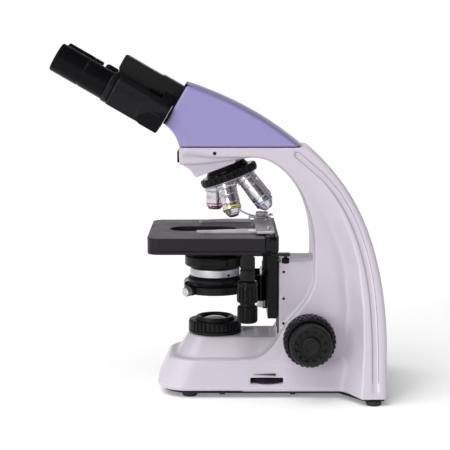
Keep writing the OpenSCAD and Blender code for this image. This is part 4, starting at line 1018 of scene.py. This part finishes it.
def build_viewing():
    build_tubes()
    build_eyepiece("right", TUBE_X, 73.1)
    build_eyepiece("left", -TUBE_X, 91.5)
    profile = [(12, 73.6), (16.2, 73.6), (17, 74.4, 0.6), (17.2, 75.4, 1), (17.2, 85.4, 1), (16.6, 87, 0.6),
               (15.4, 88.2), (12, 88.2)]
    lathe("diopter_grip", profile, "black_grip", "diopter", EYE @ move(-TUBE_X, TUBE_V, 0), "diopter_ring",
          0.5, ribs=36, depth=0.9, fill=0.55)


# ---------- inner and rear parts that keep their CAD shape ----------

INNER_PARTS = {
    "base_black": ("bottom_plate",),
    "screw_steel": ("plate_screws", "set_screws"),
    "mirror_glass": ("fold_mirror",),
    "lens_glass": ("collector_lens", "condenser_lens", "head_prism"),
    "heat_sink": ("led_module",),
    "circuit_board": ("power_board",),
    "socket_plastic": ("power_inlet", "power_switch"),
    "brass_bush": ("focus_bushes",),
    "steel": ("coarse_shaft", "condenser_knob"),
    "belt_rubber": ("drive_belt",),
    "slide_black": ("stage_base", "condenser_fork", "condenser_rail"),
    "turret_metal": ("turret_plate",),
    "eyepiece_black": ("nosepiece_hub",),
    "tube_black": ("front_plate",),
}


def dress_inner_parts():
    """Gives the CAD nodes that stay in view their detailed materials."""
    for material, nodes in INNER_PARTS.items():
        for node in nodes:
            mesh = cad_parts[node].data
            mesh.materials.clear()
            mesh.materials.append(MATS[material])


# ---------- floor, light and camera ----------

def build_studio():
    """White floor, a bright horizon with dark cards front and rear, a broad key and a smaller front sun."""
    bpy.ops.mesh.primitive_plane_add(size=80, location=(0, 0, 0))
    floor = bpy.context.object
    floor.name = "studio_floor"
    n = Nodes("studio_floor_paint")
    n.set(Base_Color=n.grey_ramp(n.noise(0.8, 2.0), 0.9, 0.92), Roughness=0.95)
    n.set(Specular_IOR_Level=0.0, Emission_Color=(1, 1, 1, 1), Emission_Strength=0.2)
    floor.data.materials.append(n.material)
    world = bpy.data.worlds.new("studio")
    bpy.context.scene.world = world
    world.use_nodes = True
    tree = world.node_tree
    where = tree.nodes.new("ShaderNodeTexCoord").outputs["Generated"]
    split = tree.nodes.new("ShaderNodeSeparateXYZ")
    fade = tree.nodes.new("ShaderNodeMapRange")
    tree.links.new(where, split.inputs["Vector"])
    tree.links.new(split.outputs["Z"], fade.inputs["Value"])
    for key, value in (("From Min", 0.10), ("From Max", 0.30), ("To Min", 1.08), ("To Max", 0.16)):
        fade.inputs[key].default_value = value
    side = tree.nodes.new("ShaderNodeMath")
    side.operation = "ABSOLUTE"
    tree.links.new(split.outputs["Y"], side.inputs[0])
    card = tree.nodes.new("ShaderNodeValToRGB")
    for k, (place, grey) in enumerate(((0.30, 1.0), (0.42, 0.12), (0.58, 0.12), (0.70, 1.0))):
        stop = card.color_ramp.elements[k] if k < 2 else card.color_ramp.elements.new(place)
        stop.position, stop.color = place, (grey, grey, grey, 1)
    tree.links.new(side.outputs[0], card.inputs["Fac"])
    back = tree.nodes["Background"]
    tree.links.new(card.outputs["Color"], back.inputs["Color"])
    tree.links.new(fade.outputs["Result"], back.inputs["Strength"])
    # turn and width of each sun in degrees
    for name, turn, strength, width in (("key", (24, 14, 0), 2.45, 60), ("front", (77, 0, 58), 1.1, 22)):
        data = bpy.data.lights.new(name, "SUN")
        data.energy, data.angle = strength, math.radians(width)
        lamp = bpy.data.objects.new(name, data)
        bpy.context.scene.collection.objects.link(lamp)
        lamp.rotation_euler = [math.radians(a) for a in turn]


def build_camera():
    """Long lens at the user's right, eight degrees above the level."""
    data = bpy.data.cameras.new("camera")
    data.lens, data.sensor_width = 108, 36
    aim_y, aim_z = 11.1, 180
    tilt, distance = math.radians(8), 1.485
    camera = bpy.data.objects.new("camera", data)
    bpy.context.scene.collection.objects.link(camera)
    target = Vector((0, (aim_y + AXIS_Y) * MM, aim_z * MM))
    camera.location = target + Vector((math.cos(tilt), 0, math.sin(tilt))) * distance
    camera.rotation_euler = (target - camera.location).to_track_quat("-Z", "Y").to_euler()
    bpy.context.scene.camera = camera
    bpy.context.scene.view_settings.view_transform = "Standard"


build_camera()
build_studio()
build_stand()
build_base()
build_focus()
build_stage()
build_stage_knobs()
build_holder()
build_condenser()
build_nosepiece()
build_head()
build_viewing()
dress_inner_parts()
